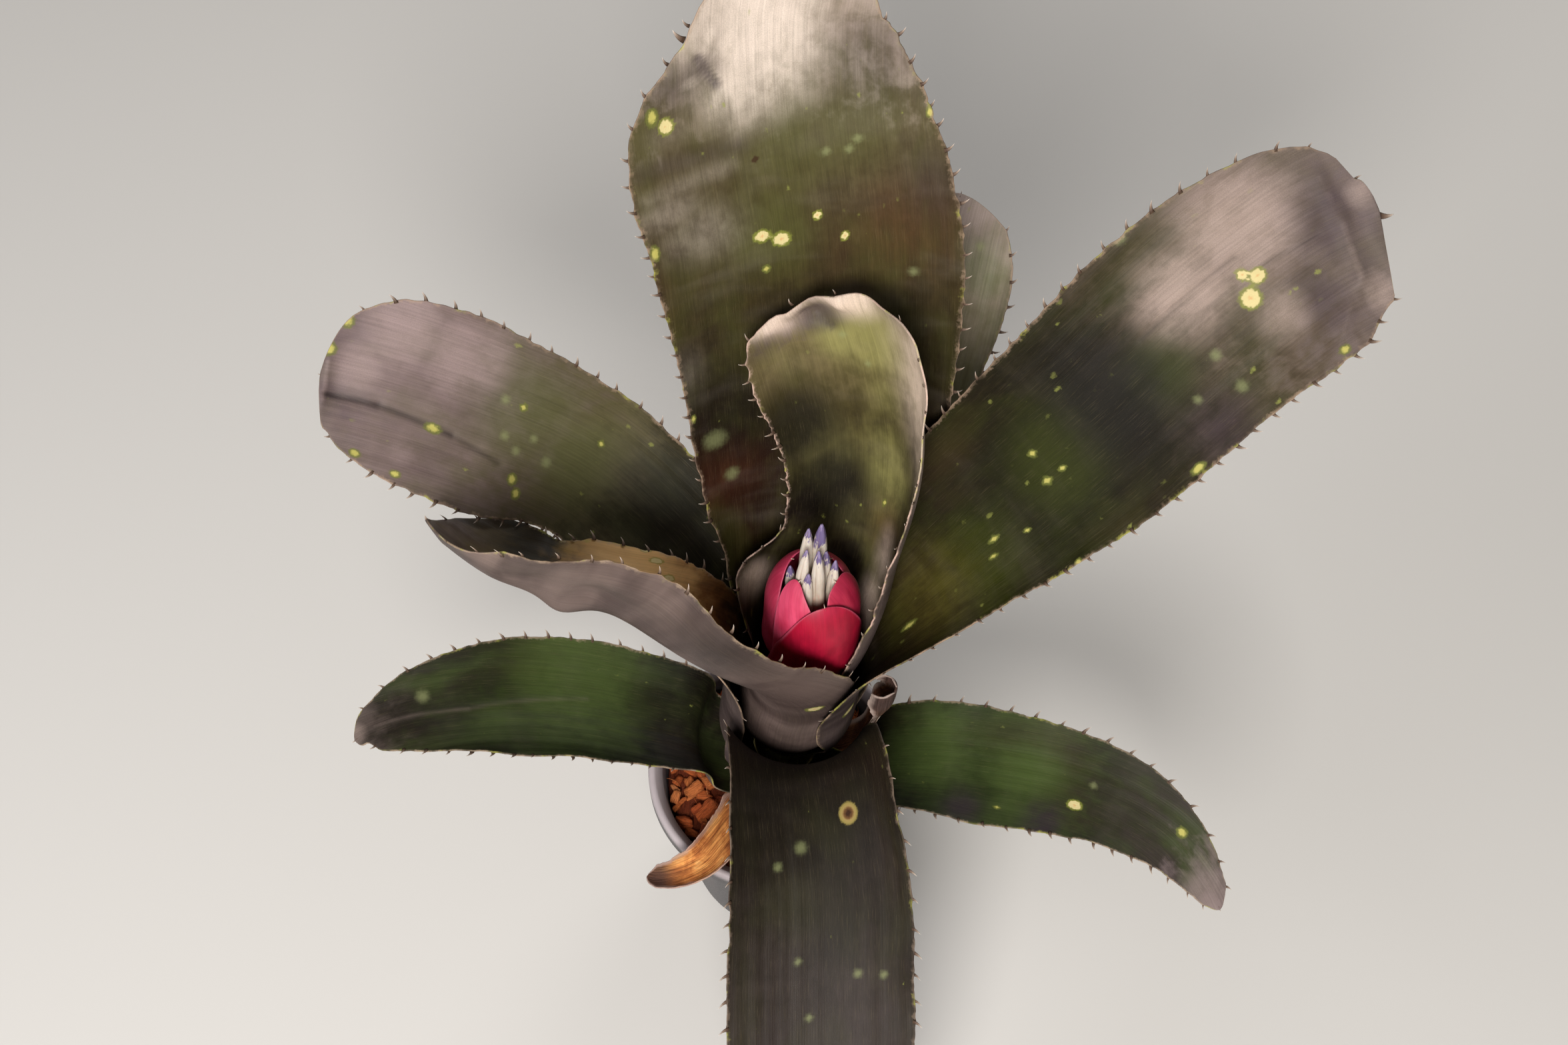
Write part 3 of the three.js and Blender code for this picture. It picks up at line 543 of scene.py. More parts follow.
class Look:
    """A material, and short calls that add a node to it and give back its output."""

    def __init__(self, name, shine):
        self.material = bpy.data.materials.new(name)
        self.material.use_nodes = True
        self.tree = self.material.node_tree
        self.tree.nodes.clear()
        self.shader = self.tree.nodes.new("ShaderNodeBsdfPrincipled")
        self.feed(self.shader, {"Specular IOR Level": shine})
        output = self.tree.nodes.new("ShaderNodeOutputMaterial")
        self.feed(output, {0: self.shader.outputs[0]})

    def feed(self, node, inputs):
        """Links or sets inputs by name or number; a text is a colour's hex code."""
        for key, value in inputs.items():
            if isinstance(value, bpy.types.NodeSocket):
                self.tree.links.new(value, node.inputs[key])
            elif value is not None:
                node.inputs[key].default_value = colour(value) if isinstance(value, str) else value

    def node(self, kind, inputs, **settings):
        node = self.tree.nodes.new("ShaderNode" + kind)
        for key, value in settings.items():
            setattr(node, key, value)
        self.feed(node, inputs)
        return node.outputs

    def field(self, name, output="Fac"):
        return self.node("Attribute", {}, attribute_name=name)[output]

    def place(self):
        """The point's own place, in millimetres."""
        return self.scaled(self.node("TexCoord", {})["Object"], (1000, 1000, 1000))

    def scaled(self, vector, rates):
        return self.node("VectorMath", {0: vector, 1: rates}, operation="MULTIPLY")[0]

    def noise(self, vector, rates, detail=3, rough=0.5, twist=0):
        inputs = {"Scale": 1, "Detail": detail, "Roughness": rough, "Distortion": twist}
        return self.node("TexNoise", {"Vector": self.scaled(vector, rates), **inputs})["Fac"]

    def ramp(self, value, *stops):
        node = self.tree.nodes.new("ShaderNodeValToRGB")
        points = node.color_ramp.elements
        for index, (at, code) in enumerate(stops):
            point = points[index] if index < 2 else points.new(at)
            point.position = at
            point.color = colour(code)
        self.feed(node, {0: value})
        return node.outputs[0]

    def level(self, value, low, high, to_low=0, to_high=1):
        inputs = dict(enumerate((value, low, high, to_low, to_high)))
        return self.node("MapRange", inputs, interpolation_type="SMOOTHSTEP")[0]

    def math(self, operation, a, b=0):
        return self.node("Math", {0: a, 1: b}, operation=operation)[0]

    def plus(self, a, b):
        return self.math("ADD", a, b)

    def times(self, a, b):
        return self.math("MULTIPLY", a, b)

    def mix(self, factor, a, b, blend="MIX"):
        return self.node("Mix", {0: factor, 6: a, 7: b}, data_type="RGBA", blend_type=blend)[2]

    def paint(self, factor, code, blend="MIX"):
        """Lays a colour over the base."""
        self.base = self.mix(factor, self.base, code, blend)

    def tint(self, code, value, low, high, most=1):
        """Lays a colour over the base where a value rises."""
        self.paint(self.level(value, low, high, 0, most), code)

    def shade(self, amount, value, low, high):
        """Darkens the base along fibres or veins, between two stops."""
        self.paint(amount, self.ramp(value, low, high), "MULTIPLY")

    def bump(self, height, strength, depth, normal=None):
        inputs = {"Strength": strength, "Distance": depth * MM, "Height": height, "Normal": normal}
        return self.node("Bump", inputs)[0]

    def done(self, roughness, normal=None):
        self.feed(self.shader, {"Base Color": self.base, "Roughness": roughness, "Normal": normal})
        return self.material


# Marks on a leaf: their field, the part of its rise where they fade in, how strong, and their colour
SPOT_LAYERS = (
    ("faint", 0, 0.85, 0.5, "#8a8f62"),
    ("fleck", 0.1, 0.4, 0.75, "#6b6f33"), ("fleck", 0.4, 0.7, 0.95, "#b9b160"),
    ("spot", 0.05, 0.3, 0.65, "#868c3a"), ("spot", 0.3, 0.46, 0.95, "#d8c890"),
    ("spot", 0.72, 0.95, 0.5, "#cf8f58"), ("dot", 0.25, 0.6, 0.8, "#382114"),
)
RING_STOPS = ((0.1, "#4c4327"), (0.22, "#8e7f45"), (0.42, "#9b8450"), (0.58, "#6a4a2b"), (0.8, "#3a2417"))
SPINE_STOPS = ((0, "#6d5c4a"), (0.3, "#4a382e"), (0.6, "#7d6a5c"), (0.85, "#b3a294"), (1, "#d9cfc4"))


def leaf_look(name, stops, under=("#3a2f2f", "#635552", "#35301c"), silver="#998887", green="#566228",
              warm="#5d3c22", margin="#a58c76", haze=(0.6, 0.95, 0.5), clouded=0.5, maroon=0.3, bands=0.3,
              flecks=0.4, shine=0.28):
    """Dark leaf: colour along the blade, soft clouds, painted shade, a grey film that is partly the leaf's
    scurf and partly painted sheen, painted highlights, speckles, spots, margin and spines.
    """
    look = Look(name, shine)
    flow = look.field("flow", "Vector")
    face = look.field("face")
    dark = look.field("dark")
    painted_highlight = look.field("painted_highlight")
    clouds = look.noise(flow, (0.06, 0.035, 1), 4, 0.55, 0.3)
    broad = look.noise(flow, (0.03, 0.016, 1), 2)
    mottle = look.noise(flow, (0.2, 0.13, 1), 4, 0.6, 0.2)
    nerves = look.noise(flow, (1.9, 0.035, 1), 4, 0.6)
    fine = look.noise(flow, (4.6, 0.16, 1), 2)
    scurf = look.noise(flow, (4.0, 3.2, 1), 3, 0.75)
    speck = look.noise(flow, (1.0, 0.8, 1), 3, 0.6)
    banding = look.noise(flow, (0.03, 0.08, 1), 3, 0.55, 0.2)
    front = look.level(face, -0.2, 0.2)

    # The back, with painted shade and painted highlights laid over its colour
    look.base = look.mix(look.level(banding, 0.35, 0.65, 0.1, 0.85), under[0], under[1])
    look.paint(look.times(look.level(clouds, 0.45, 0.7), 0.4), under[2])
    look.tint("#241b18", dark, 0, 1, 0.7)
    look.tint(silver, painted_highlight, 0, 1, 0.45)
    back = look.base

    # The front: colour and patches, then the grey bloom over them, partly the leaf's scurf and partly
    # painted sheen, strongest towards the tip and where painted highlights lie
    shifted = look.plus(look.field("along"), look.level(mottle, 0.25, 0.75, -0.06, 0.06))
    look.base = look.ramp(shifted, *stops)
    look.paint(look.times(look.level(clouds, 0.42, 0.68), clouded), green)
    look.paint(look.times(look.level(broad, 0.52, 0.72), maroon), "#43281e")
    uneven = look.level(mottle, 0.25, 0.7, 0.72, 1.1)
    # Patches: the leaf's own green, warm and violet tones, and near black painted shade. On some leaves the
    # green and warm patches are partly a painted glow of light through the leaf, and violet in a curl is
    # partly painted shade.
    for kind, most, code in (
        ("green", 0.8, green), ("warm", 0.65, warm), ("dark", 0.85, "#130f0b"), ("violet", 0.75, "#382b36"),
    ):
        look.tint(code, look.times(look.field(kind), uneven), 0, 0.9, most)
    bloom_and_sheen = look.level(shifted, haze[0], haze[1], 0, haze[2])
    bloom_and_sheen = look.times(bloom_and_sheen, look.level(banding, 0.3, 0.7, 1 - bands, 1))
    bloom_and_sheen = look.plus(bloom_and_sheen, look.level(banding, 0.45, 0.75, 0, 0.12 * bands))
    bloom_and_sheen = look.math("MAXIMUM", bloom_and_sheen, look.level(look.times(painted_highlight, uneven), 0, 1, 0, 0.8))
    shaded = look.math("MAXIMUM", dark, look.field("violet"))
    bloom_and_sheen = look.times(bloom_and_sheen, look.level(shaded, 0, 1, 1, 0.25))
    look.paint(look.times(bloom_and_sheen, look.level(scurf, 0.3, 0.7, 0.8, 1.12)), silver)

    # Both sides: veins, scurf, small flecks and the marks
    look.base = look.mix(front, back, look.base)
    look.shade(0.34, nerves, (0.3, "#8c8c8c"), (0.7, "#ffffff"))
    look.tint("#a8966f", fine, 0.55, 0.75, 0.06)
    look.tint("#887a66", scurf, 0.58, 0.76, 0.14)
    cells = look.node("TexVoronoi", {"Vector": look.scaled(flow, (0.3, 0.2, 1)), "Scale": 1})
    chosen = look.node("SeparateXYZ", {0: cells["Color"]})[0]
    size = look.times(look.level(chosen, 0.6, 1, 0, 0.34), flecks)
    off = look.plus(cells["Distance"], look.level(speck, 0.2, 0.8, -0.1, 0.1))
    mask = look.level(look.math("SUBTRACT", size, off), -0.04, 0.12, 0, 0.6)
    mask = look.times(mask, look.level(clouds, 0.4, 0.62))
    look.paint(look.times(mask, front), "#90944a")
    torn = look.level(speck, 0.25, 0.75, -0.09, 0.09)
    for kind, low, high, most, code in SPOT_LAYERS:
        field = look.field(kind)
        look.tint(code, look.plus(field, look.times(torn, look.level(field, 0, 0.15))), low, high, most)
    ring = look.plus(look.field("ring"), look.level(scurf, 0.2, 0.8, -0.04, 0.04))
    look.tint(look.ramp(ring, *RING_STOPS), ring, 0.06, 0.14)

    # Margin and spines
    rim_colour = look.mix(look.level(mottle, 0.54, 0.62, 0, 0.85), margin, "#a5a548")
    broken = look.level(look.noise(flow, (0.02, 0.3, 1)), 0.38, 0.62, 0.15, 1)
    edge = look.plus(look.math("ABSOLUTE", look.field("across")), look.level(speck, 0.3, 0.7, -0.02, 0.01))
    look.paint(look.times(look.level(edge, 0.965, 1, 0, 0.5), broken), rim_colour)
    rim = look.level(look.math("ABSOLUTE", face), 0.2, 0.8, 0.6, 0)
    look.paint(look.times(rim, broken), rim_colour)
    spine = look.field("spine")
    look.tint(look.ramp(spine, *SPINE_STOPS), spine, 0.02, 0.1)

    rough = look.plus(look.level(scurf, 0.25, 0.75, 0.4, 0.58), look.times(bloom_and_sheen, 0.1))
    return look.done(rough, look.bump(scurf, 0.3, 0.1, look.bump(nerves, 0.4, 0.22)))


def dried_look(name, tones, rim):
    look = Look(name, 0.25)
    flow = look.field("flow", "Vector")
    clouds = look.noise(flow, (0.14, 0.09, 1), 5, 0.6, 0.8)
    streaks = look.noise(flow, (1.9, 0.07, 1), 4, 0.65)
    grain = look.noise(flow, (3.5, 2.5, 1), 3, 0.7)
    look.base = look.ramp(clouds, *zip((0.28, 0.45, 0.58, 0.74), tones))
    look.paint(look.level(look.field("face"), -0.2, 0.2, 0.6, 0), "#705a50")
    look.tint("#4a3a37", look.field("along"), 0.74, 0.9, 0.85)
    look.shade(0.8, streaks, (0.32, "#6e5a4c"), (0.62, "#ffffff"))
    look.tint(rim, look.math("ABSOLUTE", look.field("across")), 0.72, 0.98, 0.7)
    normal = look.bump(grain, 0.4, 0.15, look.bump(streaks, 0.8, 0.5))
    return look.done(look.level(grain, 0.3, 0.7, 0.6, 0.9), normal)


def flower_look(name, glow):
    """A look for the flower head's soft tissue, which lets a little light through."""
    look = Look(name, 0.35)
    look.feed(look.shader, {"Subsurface Weight": glow, "Subsurface Scale": 0.002})
    return look


def bract_look(name, deep, light):
    look = flower_look(name, 0.05)
    flow = look.field("flow", "Vector")
    along = look.field("along")
    veins = look.noise(flow, (2.4, 0.07, 1))
    grain = look.noise(flow, (7, 7, 1), 2)
    look.base = look.mix(look.level(look.noise(flow, (0.22, 0.12, 1)), 0.32, 0.68), deep, light)
    look.paint(look.level(along, 0.1, 0.45, 0.5, 0), "#5f1024")
    look.tint("#c23a5c", along, 0.9, 1, 0.25)
    look.tint("#d0647f", look.math("ABSOLUTE", look.field("across")), 0.93, 1, 0.5)
    look.shade(0.25, veins, (0.35, "#b0a0a4"), (0.65, "#ffffff"))
    look.tint("#e58fa4", grain, 0.6, 0.8, 0.08)
    look.tint("#c9ae9a", look.field("spine"), 0.1, 0.5)
    normal = look.bump(grain, 0.25, 0.05, look.bump(veins, 0.3, 0.12))
    return look.done(look.level(grain, 0.3, 0.7, 0.4, 0.55), normal)


def bud_look(name, stain_from, low):
    look = flower_look(name, 0.1)
    flow = look.field("flow", "Vector")
    stain = look.noise(flow, (0.8, 0.3, 1), 3, 0.5, 0.4)
    veins = look.noise(flow, (3.0, 0.1, 1))
    place = look.plus(look.field("along"), look.level(stain, 0.3, 0.7, -0.06, 0.06))
    look.base = look.ramp(place, (0, "#a3957a"), (0.35, low), (0.6, "#ccbfae"), (0.85, "#dcd2c5"))
    look.tint("#5d4c86", place, stain_from, stain_from + 0.05, 0.9)
    look.tint("#a596bb", place, 0.96, 1.02, 0.7)
    look.tint("#a98b78", look.field("seam"), 0.4, 1, 0.65)
    look.shade(0.3, veins, (0.35, "#cfc6c2"), (0.65, "#ffffff"))
    return look.done(look.level(veins, 0.3, 0.7, 0.4, 0.52), look.bump(veins, 0.3, 0.12))


def pot_look():
    look = Look("pot_plastic", 0.5)
    spot = look.place()
    grain = look.noise(spot, (2.2, 2.2, 2.2), 3, 0.6)
    smears = look.noise(spot, (0.07, 0.07, 0.02), 5, 0.6, 0.5)
    height = look.node("SeparateXYZ", {0: spot})[2]
    dust = look.times(look.level(smears, 0.45, 0.75), look.level(height, 2, 60, 0.35, 0.8))
    look.base = look.mix(look.level(smears, 0.35, 0.7, 0, 0.6), "#464446", "#5a5658")
    look.paint(look.times(dust, 0.42), "#857e7a")
    # Painted highlight along the top of the rolled rim
    look.tint("#c8bcbf", height, 66, 70.2, 0.75)
    look.tint("#8b8583", grain, 0.62, 0.8, 0.12)
    rough = look.plus(look.level(grain, 0.3, 0.7, 0.42, 0.55), look.times(dust, 0.25))
    return look.done(rough, look.bump(grain, 0.25, 0.12))


def husk_look():
    look = Look("husk_chips", 0.2)
    fibres = look.noise(look.field("flow", "Vector"), (2.6, 0.35, 2.6), 4, 0.65, 0.4)
    grain = look.noise(look.place(), (1.6, 1.6, 1.6), 4, 0.65)
    tones = zip((0, 0.25, 0.5, 0.75, 1), ("#451f12", "#8a3b1c", "#ab4f26", "#bf6a35", "#cf9262"))
    look.base = look.ramp(look.field("tint"), *tones)
    look.shade(0.75, fibres, (0.3, "#5d4c42"), (0.62, "#ffffff"))
    look.tint("#c79a6a", grain, 0.58, 0.8, 0.35)
    normal = look.bump(grain, 0.5, 0.3, look.bump(fibres, 0.9, 0.6))
    return look.done(look.level(grain, 0.3, 0.7, 0.7, 0.95), normal)


def stem_look():
    look = Look("stem_fibre", 0.3)
    spot = look.place()
    fibres = look.noise(spot, (1.1, 1.1, 0.09), 4, 0.6, 0.3)
    look.base = look.ramp(fibres, (0.25, "#4b4426"), (0.5, "#78703f"), (0.75, "#a39a63"))
    look.tint("#5a3c28", look.noise(spot, (0.05, 0.05, 0.55), 3, 0.6), 0.45, 0.7, 0.7)
    return look.done(look.level(fibres, 0.3, 0.7, 0.55, 0.8), look.bump(fibres, 0.7, 0.4))


def floor_look():
    look = Look("pale_floor", 0.2)
    look.base = "#d5d2ce"
    return look.done(0.85)


# Leaves: the same stations as the part's, with the marks that the photograph shows on them.
# A sheath has its layer, azimuth, top, half-width at the foot, half-widths to the left and right, and
# the number of its stations where it isn't 4.
# A row of a blade has its midrib point, azimuth, bank, half-widths to the left and right, and the
# radius of its channel, given twice where the left one differs.
# A mark of a kind is the pixel that shows it and its radius in mm. How much longer than wide it is,
# its strength, and the half of the leaf that it lies on follow where they aren't 1, 1 and 0. One of
# SHARP_MARKS with strength -1 is on the leaf's back.
# A dent is a pixel, its size across and along, its height and its half of the leaf. A fold runs
# between two pixels and has its width, its height, and the kind and strength of the mark it leaves;
# a pale mark along a fold is a painted highlight, and a dark one is painted shade in its crease.
# A thorn is a pixel and its size. A notch is a pixel, its depth and its half-width.
LEAVES = {}
LEAVES["leaf_centre"] = dict(
    seed=1, spines_from=30, mucro=1.6, ripple=0.5, rag=0.32, curl=(0.4, 1.1),
    sheath=(10, 50, 140, 16, 30, 29),
    blade=[
        (21, 17, 155, 50, 0, 36, 29.2, 16.5, 23), (25, 25, 172, 48, 0, 25, 28.5, 18),
        (26, 38, 196, 58, 0, 26, 31, 22), (22, 48, 218, 65, 0, 30, 32, 27),
        (18, 53, 232, 67, 0, 27.5, 26, 32), (14.5, 56, 241, 68, 0, 14, 9, 40),
    ],
    dents=[
        (1150, 490, 4, 4, 1.8, 0), (1228, 470, 3.6, 3.2, -2.2, 0), (1182, 462, 3, 3, 2.0, 0),
        (1264, 452, 3, 3, 1.6, 0), (1205, 456, 2, 2, 1.0, 0),
    ],
    folds=[(1205, 465, 1248, 490, 1.6, -0.8, "violet", 1)],
    painted_highlight=[
        (1128, 862, 9, 0.8, 0.6, 1), (1160, 470, 12, 0.6), (1270, 446, 11, 0.5),
        (1306, 905, 17, 1.8, 0.75, -1), (1330, 840, 17, 2, 0.55, -1), (1402, 610, 52, 1.7),
    ],
    # The green patches are partly the leaf's green and partly a painted glow of light through the leaf.
    green=[(1310, 500, 22, 0.9), (1330, 590, 18, 1.3, 0.4), (1265, 500, 14), (1340, 710, 26, 1.5, 0.6, -1)],
    warm=[(1330, 790, 18, 1.3, 0.4, -1)],
    dark=[(1190, 640, 26, 1.2), (1240, 730, 24, 1.2), (1250, 720, 20)],
    violet=[(1228, 472, 9, 0.7), (1140, 525, 8, 0.8, 0.5)], faint=[(1262, 500, 1.8), (1305, 545, 1.5)],
    fleck=[(1330, 752, 1.6, 2.2)],
    look=dict(
        stops=[
            (0.3, "#120b08"), (0.48, "#160f0a"), (0.62, "#2e2716"), (0.76, "#4a4225"), (0.9, "#6c6040"),
            (1.0, "#5a4a4c"),
        ],
        under=("#4a3c3b", "#756562", "#45412a"), haze=(0.95, 1.03, 0.5), green="#969158", clouded=0.22,
        margin="#d0b0a0", silver="#f0d8c6", flecks=0.5, maroon=0.25, bands=0.2, warm="#714c2c", shine=0.15,
    ),
)
LEAVES["leaf_left_inner"] = dict(
    seed=2, spines_from=42, mucro=1.8, tip=9, ripple=0.9, rag=0.22, sheath=(9, 224, 134, 16, 30, 27),
    blade=[
        (-10, -8, 150, 212, 5, 33, 25, 22), (-26, -8, 167, 196, 22, 35, 29, 28),
        (-44, -4, 180, 186, 46, 35, 31, 32), (-60, -2, 187, 183, 49, 35, 28, 38),
        (-75, 2, 192, 181, 47, 33, 31, 50), (-86, 8, 198, 178, 45, 20, 20, 60),
        (-91, 12, 202, 176, 45, 5, 5, 60),
    ],
    dents=[(845, 900, 7, 6, -3.0, 1), (884, 893, 6, 5, 2.4, 1), (800, 870, 6, 6, 1.2, 1)],
    painted_highlight=[
        (1240, 1020, 22, 0.6, 0.5, 1), (850, 872, 12, 0.8, 0.6, 1), (1000, 905, 12, 0.8, 0.4, 1),
        (720, 818, 12, 0.8, 1, 1),
    ],
    # The bright orange of the inner face, in these warm marks and the middle colour stops, is the leaf's
    # orange-brown made brighter as a painted glow of light through the leaf.
    warm=[(965, 838, 24, 0.7, 1, -1), (1010, 870, 16, 0.8, 1, -1)],
    # The dark marks are painted shade on the inner face under the outer leaf and low on the tube.
    dark=[(800, 810, 22, 0.7, 1, -1), (1090, 975, 26, 0.7, 0.8, 1), (880, 935, 12, 1, 0.5, 1)],
    spot=[
        (985, 842, 2.6, 2.4, 1, -1), (1003, 868, 3.0, 2.4, 1, -1), (967, 824, 1.8, 2, 1, -1),
        (1222, 1062, 2.0, 0.6, -1),
    ],
    look=dict(
        stops=[
            # The bright orange middle stops are partly painted glow of light through the leaf.
            (0.3, "#2c1b12"), (0.42, "#94683a"), (0.55, "#e6b877"), (0.66, "#b38a54"), (0.78, "#55402f"),
            (1.0, "#4a3d3a"),
        ],
        under=("#483a37", "#74635d", "#433a33"), haze=(0.9, 1.05, 0.4), green="#7d7335", clouded=0.3,
        flecks=0.8, bands=0.25, margin="#ab947c", warm="#f0c080", silver="#a08b82", shine=0.2,
    ),
)
LEAVES["leaf_right"] = dict(
    seed=3, spines_from=40, mucro=1.0, tip=7, tip_back=1.6, rag=0.16, curl=(0.9, 0.5),
    sheath=(8, 18, 130, 16, 20, 27),
    blade=[
        (27, 9.5, 147, 18, 4, 20, 26, 21), (43, 17, 167, 19, 14, 22, 24, 30),
        (60, 25, 186, 20, 25, 28, 25.5, 42), (82, 34, 211, 21, 30, 30.5, 28.5, 60),
        (107, 47, 237, 23, 30, 31, 28.5, 85), (130, 59, 252, 25, 30, 27.5, 28.5, 100),
        (144, 65, 257, 26, 30, 18.5, 21, 100), (151, 67, 259, 26, 30, 8.5, 11, 100),
    ],
    folds=[
        (1715, 509, 1852, 386, 1.0, -0.45, "dark", 0.5), (1886, 401, 1978, 352, 0.9, -0.4, "dark", 0.6),
        (1978, 266, 2014, 331, 2.4, 0.7, "painted_highlight", 0.4), (2014, 331, 2042, 418, 2.4, 0.9, "painted_highlight", 0.5),
        (2042, 418, 2014, 496, 2.2, 0.7, "painted_highlight", 0.4), (1760, 500, 1840, 440, 0.9, -0.2, "dark", 0.35),
    ],
    thorns=[(2072, 322, 1.7)], notches=[(2034, 282, 2.6, 1.1)],
    painted_highlight=[
        (1860, 340, 30), (1780, 430, 24, 1.2), (1930, 470, 15, 1, 0.7), (2072, 440, 12, 0.8, 0.7),
        (2035, 290, 9, 0.8, 0.7),
    ],
    green=[(1590, 680, 26), (1480, 840, 24), (1740, 560, 18)], warm=[(1400, 890, 30, 1, 0.5)],
    dark=[(1660, 590, 28, 0.6), (1590, 540, 20, 0.8, 0.6)],
    violet=[(1985, 330, 17, 0.7, 0.6), (1990, 450, 14, 0.7, 0.6), (1840, 640, 20, 1, 0.6)],
    faint=[(1826, 535, 2.4), (1864, 576, 2.6), (1795, 600, 1.8), (1660, 330, 2.4)],
    fleck=[
        (1548, 681, 1.9, 1.2), (1572, 719, 2.4, 1.5), (1594, 705, 1.9, 1.5), (1490, 808, 2.7, 2.2),
        (1492, 835, 2.2, 2), (1539, 795, 1.6, 1.4), (1367, 940, 4.2, 3.2), (1796, 703, 3.4, 2),
        (2018, 525, 2.4, 1.4), (1618, 843, 1.8, 1.3),
    ],
    spot=[(1888, 415, 3.0, 1.1), (1876, 449, 3.7), (1864, 416, 2.0), (1273, 1064, 2.0, 0.6, -1, -1)],
    look=dict(
        stops=[
            (0.3, "#1b120a"), (0.42, "#222209"), (0.55, "#191607"), (0.66, "#29240f"), (0.82, "#544739"),
            (1.0, "#463c42"),
        ],
        haze=(0.76, 0.95, 0.28), flecks=0.7, green="#34390f", clouded=0.4, silver="#b8a398", warm="#73682f",
        shine=0.12,
    ),
)
LEAVES["leaf_back"] = dict(
    seed=4, spines_from=40, mucro=2.0, tip=9, tip_back=1.6, rag=0.2, sheath=(7, 93, 128, 16, 26, 25),
    blade=[
        (9, 29.5, 147, 93, 0, 26, 31, 27), (10, 44, 175, 93, 0, 33.5, 34.5, 46),
        (10, 58, 208, 93, 0, 36.5, 38.5, 75), (8, 70, 243, 94, 0, 40.5, 40, 95),
        (4, 82, 275, 96, 0, 41.5, 34.5, 110), (3, 91, 297, 97, 0, 25.5, 25, 120),
        (4, 95, 307, 97, 0, 17.5, 19, 120), (4, 98.5, 315.5, 97, 0, 6, 6, 120),
    ],
    dents=[(1040, 60, 5, 8, 2.2, 0), (1062, 105, 4, 6, -1.6, 0), (1005, 110, 4, 5, 1.6, 0)],
    folds=[
        (1045, 88, 1075, 125, 1.6, -0.7, "violet", 1), (1068, 50, 1048, 100, 1.4, 0.6, "painted_highlight", 0.8),
        (970, 305, 1095, 246, 3.6, 0.25, "painted_highlight", 0.24), (985, 205, 1085, 172, 5.0, 0.0, "painted_highlight", 0.2),
        (965, 262, 1110, 214, 3.4, -0.2, "violet", 0.4),
    ],
    thorns=[(1022, 60, 1.5)],
    painted_highlight=[
        (1130, 40, 36), (1115, 120, 22, 1, 0.75), (1040, 122, 4, 0.6, 0.8), (1000, 320, 12, 0.6, 0.3),
        (1050, 350, 18, 0.8, 0.3), (1030, 560, 18, 1.6, 0.2),
    ],
    green=[(1190, 200, 30, 1, 0.7), (1270, 190, 24, 1, 0.7), (1150, 350, 26, 1, 0.8)],
    warm=[(1350, 340, 26, 1, 0.45), (1080, 715, 22, 0.8, 0.5)], dark=[(1110, 610, 30, 0.7, 0.6)],
    # The first violet mark, at the curled corner, and the violet of the first fold are painted shade in the
    # curl.
    violet=[
        (1050, 104, 8, 0.7, 0.7), (1310, 70, 32, 1, 0.55), (1000, 120, 14, 0.8, 0.6),
        (1400, 270, 22, 1.4, 0.4),
    ],
    faint=[
        (1242, 223, 1.9), (1270, 221, 1.9), (1287, 206, 2.0), (1370, 405, 2), (1070, 660, 4.2, 0.8),
        (1097, 711, 3, 0.9),
    ],
    fleck=[
        (1146, 403, 1.7), (975, 175, 3.2, 1.4), (980, 380, 3.6, 1.8), (1395, 165, 2.6, 1.8),
        (1041, 628, 1.8, 1.5),
    ],
    spot=[(1146, 351, 2.7), (1173, 358, 3.0), (996, 188, 2.6), (1224, 321, 1.7), (1266, 353, 1.6)],
    dot=[(1136, 236, 1.6)],
    look=dict(
        stops=[
            (0.28, "#22110a"), (0.4, "#21150d"), (0.53, "#2e2615"), (0.7, "#41361f"), (0.84, "#5a5036"),
            (1.0, "#93806f"),
        ],
        haze=(0.8, 1.0, 0.3), green="#505026", clouded=0.4, maroon=0.35, silver="#f3e2d4", warm="#5d3320",
        shine=0.16,
    ),
)
LEAVES["leaf_left_outer"] = dict(
    seed=5, spines_from=42, mucro=1.4, tip=5, rag=0.16, curl=(0.5, 0.5), sheath=(6, 158, 124, 16, 23, 18),
    blade=[
        (-14, 14, 140, 158, -4, 24, 17, 26), (-30, 29, 157, 159, -18, 23, 21, 33),
        (-48, 41, 171, 161, -28, 20, 23, 45), (-62, 44, 183, 162, -28, 21, 24, 55),
        (-74, 44, 193, 163, -28, 24, 25.5, 65), (-90, 45, 203, 164, -28, 23.5, 27, 75),
        (-104, 46, 210, 165, -28, 20.5, 24.5, 85), (-115, 47, 214, 166, -28, 15, 16.5, 90),
        (-120, 47, 216, 166, -28, 9.5, 8, 90),
    ],
    folds=[
        (490, 591, 566, 608, 1.2, -0.6, "dark", 0.8), (566, 608, 675, 655, 1.1, -0.45, "dark", 0.7),
        (675, 655, 748, 696, 1.0, -0.3, "dark", 0.5), (492, 540, 484, 600, 1.4, 0.6, "painted_highlight", 0.6),
    ],
    notches=[(498, 629, 1.2, 1.6)],
    painted_highlight=[(600, 490, 20, 0.8), (700, 540, 22), (540, 550, 15), (600, 680, 12, 1.2, 0.6)],
    green=[(790, 620, 26), (860, 690, 22)], dark=[(1010, 745, 30, 1, 0.6)],
    violet=[(640, 720, 22, 1, 0.3), (520, 620, 14, 1, 0.4), (720, 590, 22, 1, 0.25)],
    faint=[(757, 655, 2), (771, 677, 2), (797, 659, 1.8), (820, 694, 2.2), (757, 600, 2)],
    fleck=[
        (648, 643, 3.6, 1.8), (787, 609, 1.6), (767, 720, 2.4), (773, 740, 2.4), (515, 474, 2.6),
        (488, 520, 2.6), (530, 680, 2.6, 1.6), (590, 712, 2.4, 1.6), (903, 666, 1.4),
    ],
    look=dict(
        stops=[
            (0.3, "#1a120c"), (0.48, "#2c2817"), (0.6, "#575036"), (0.76, "#5e5147"), (0.9, "#665553"),
            (1.0, "#54464a"),
        ],
        haze=(0.62, 0.92, 0.35), green="#5a5a38", clouded=0.35, flecks=0.6, silver="#a38e8b", shine=0.16,
    ),
)
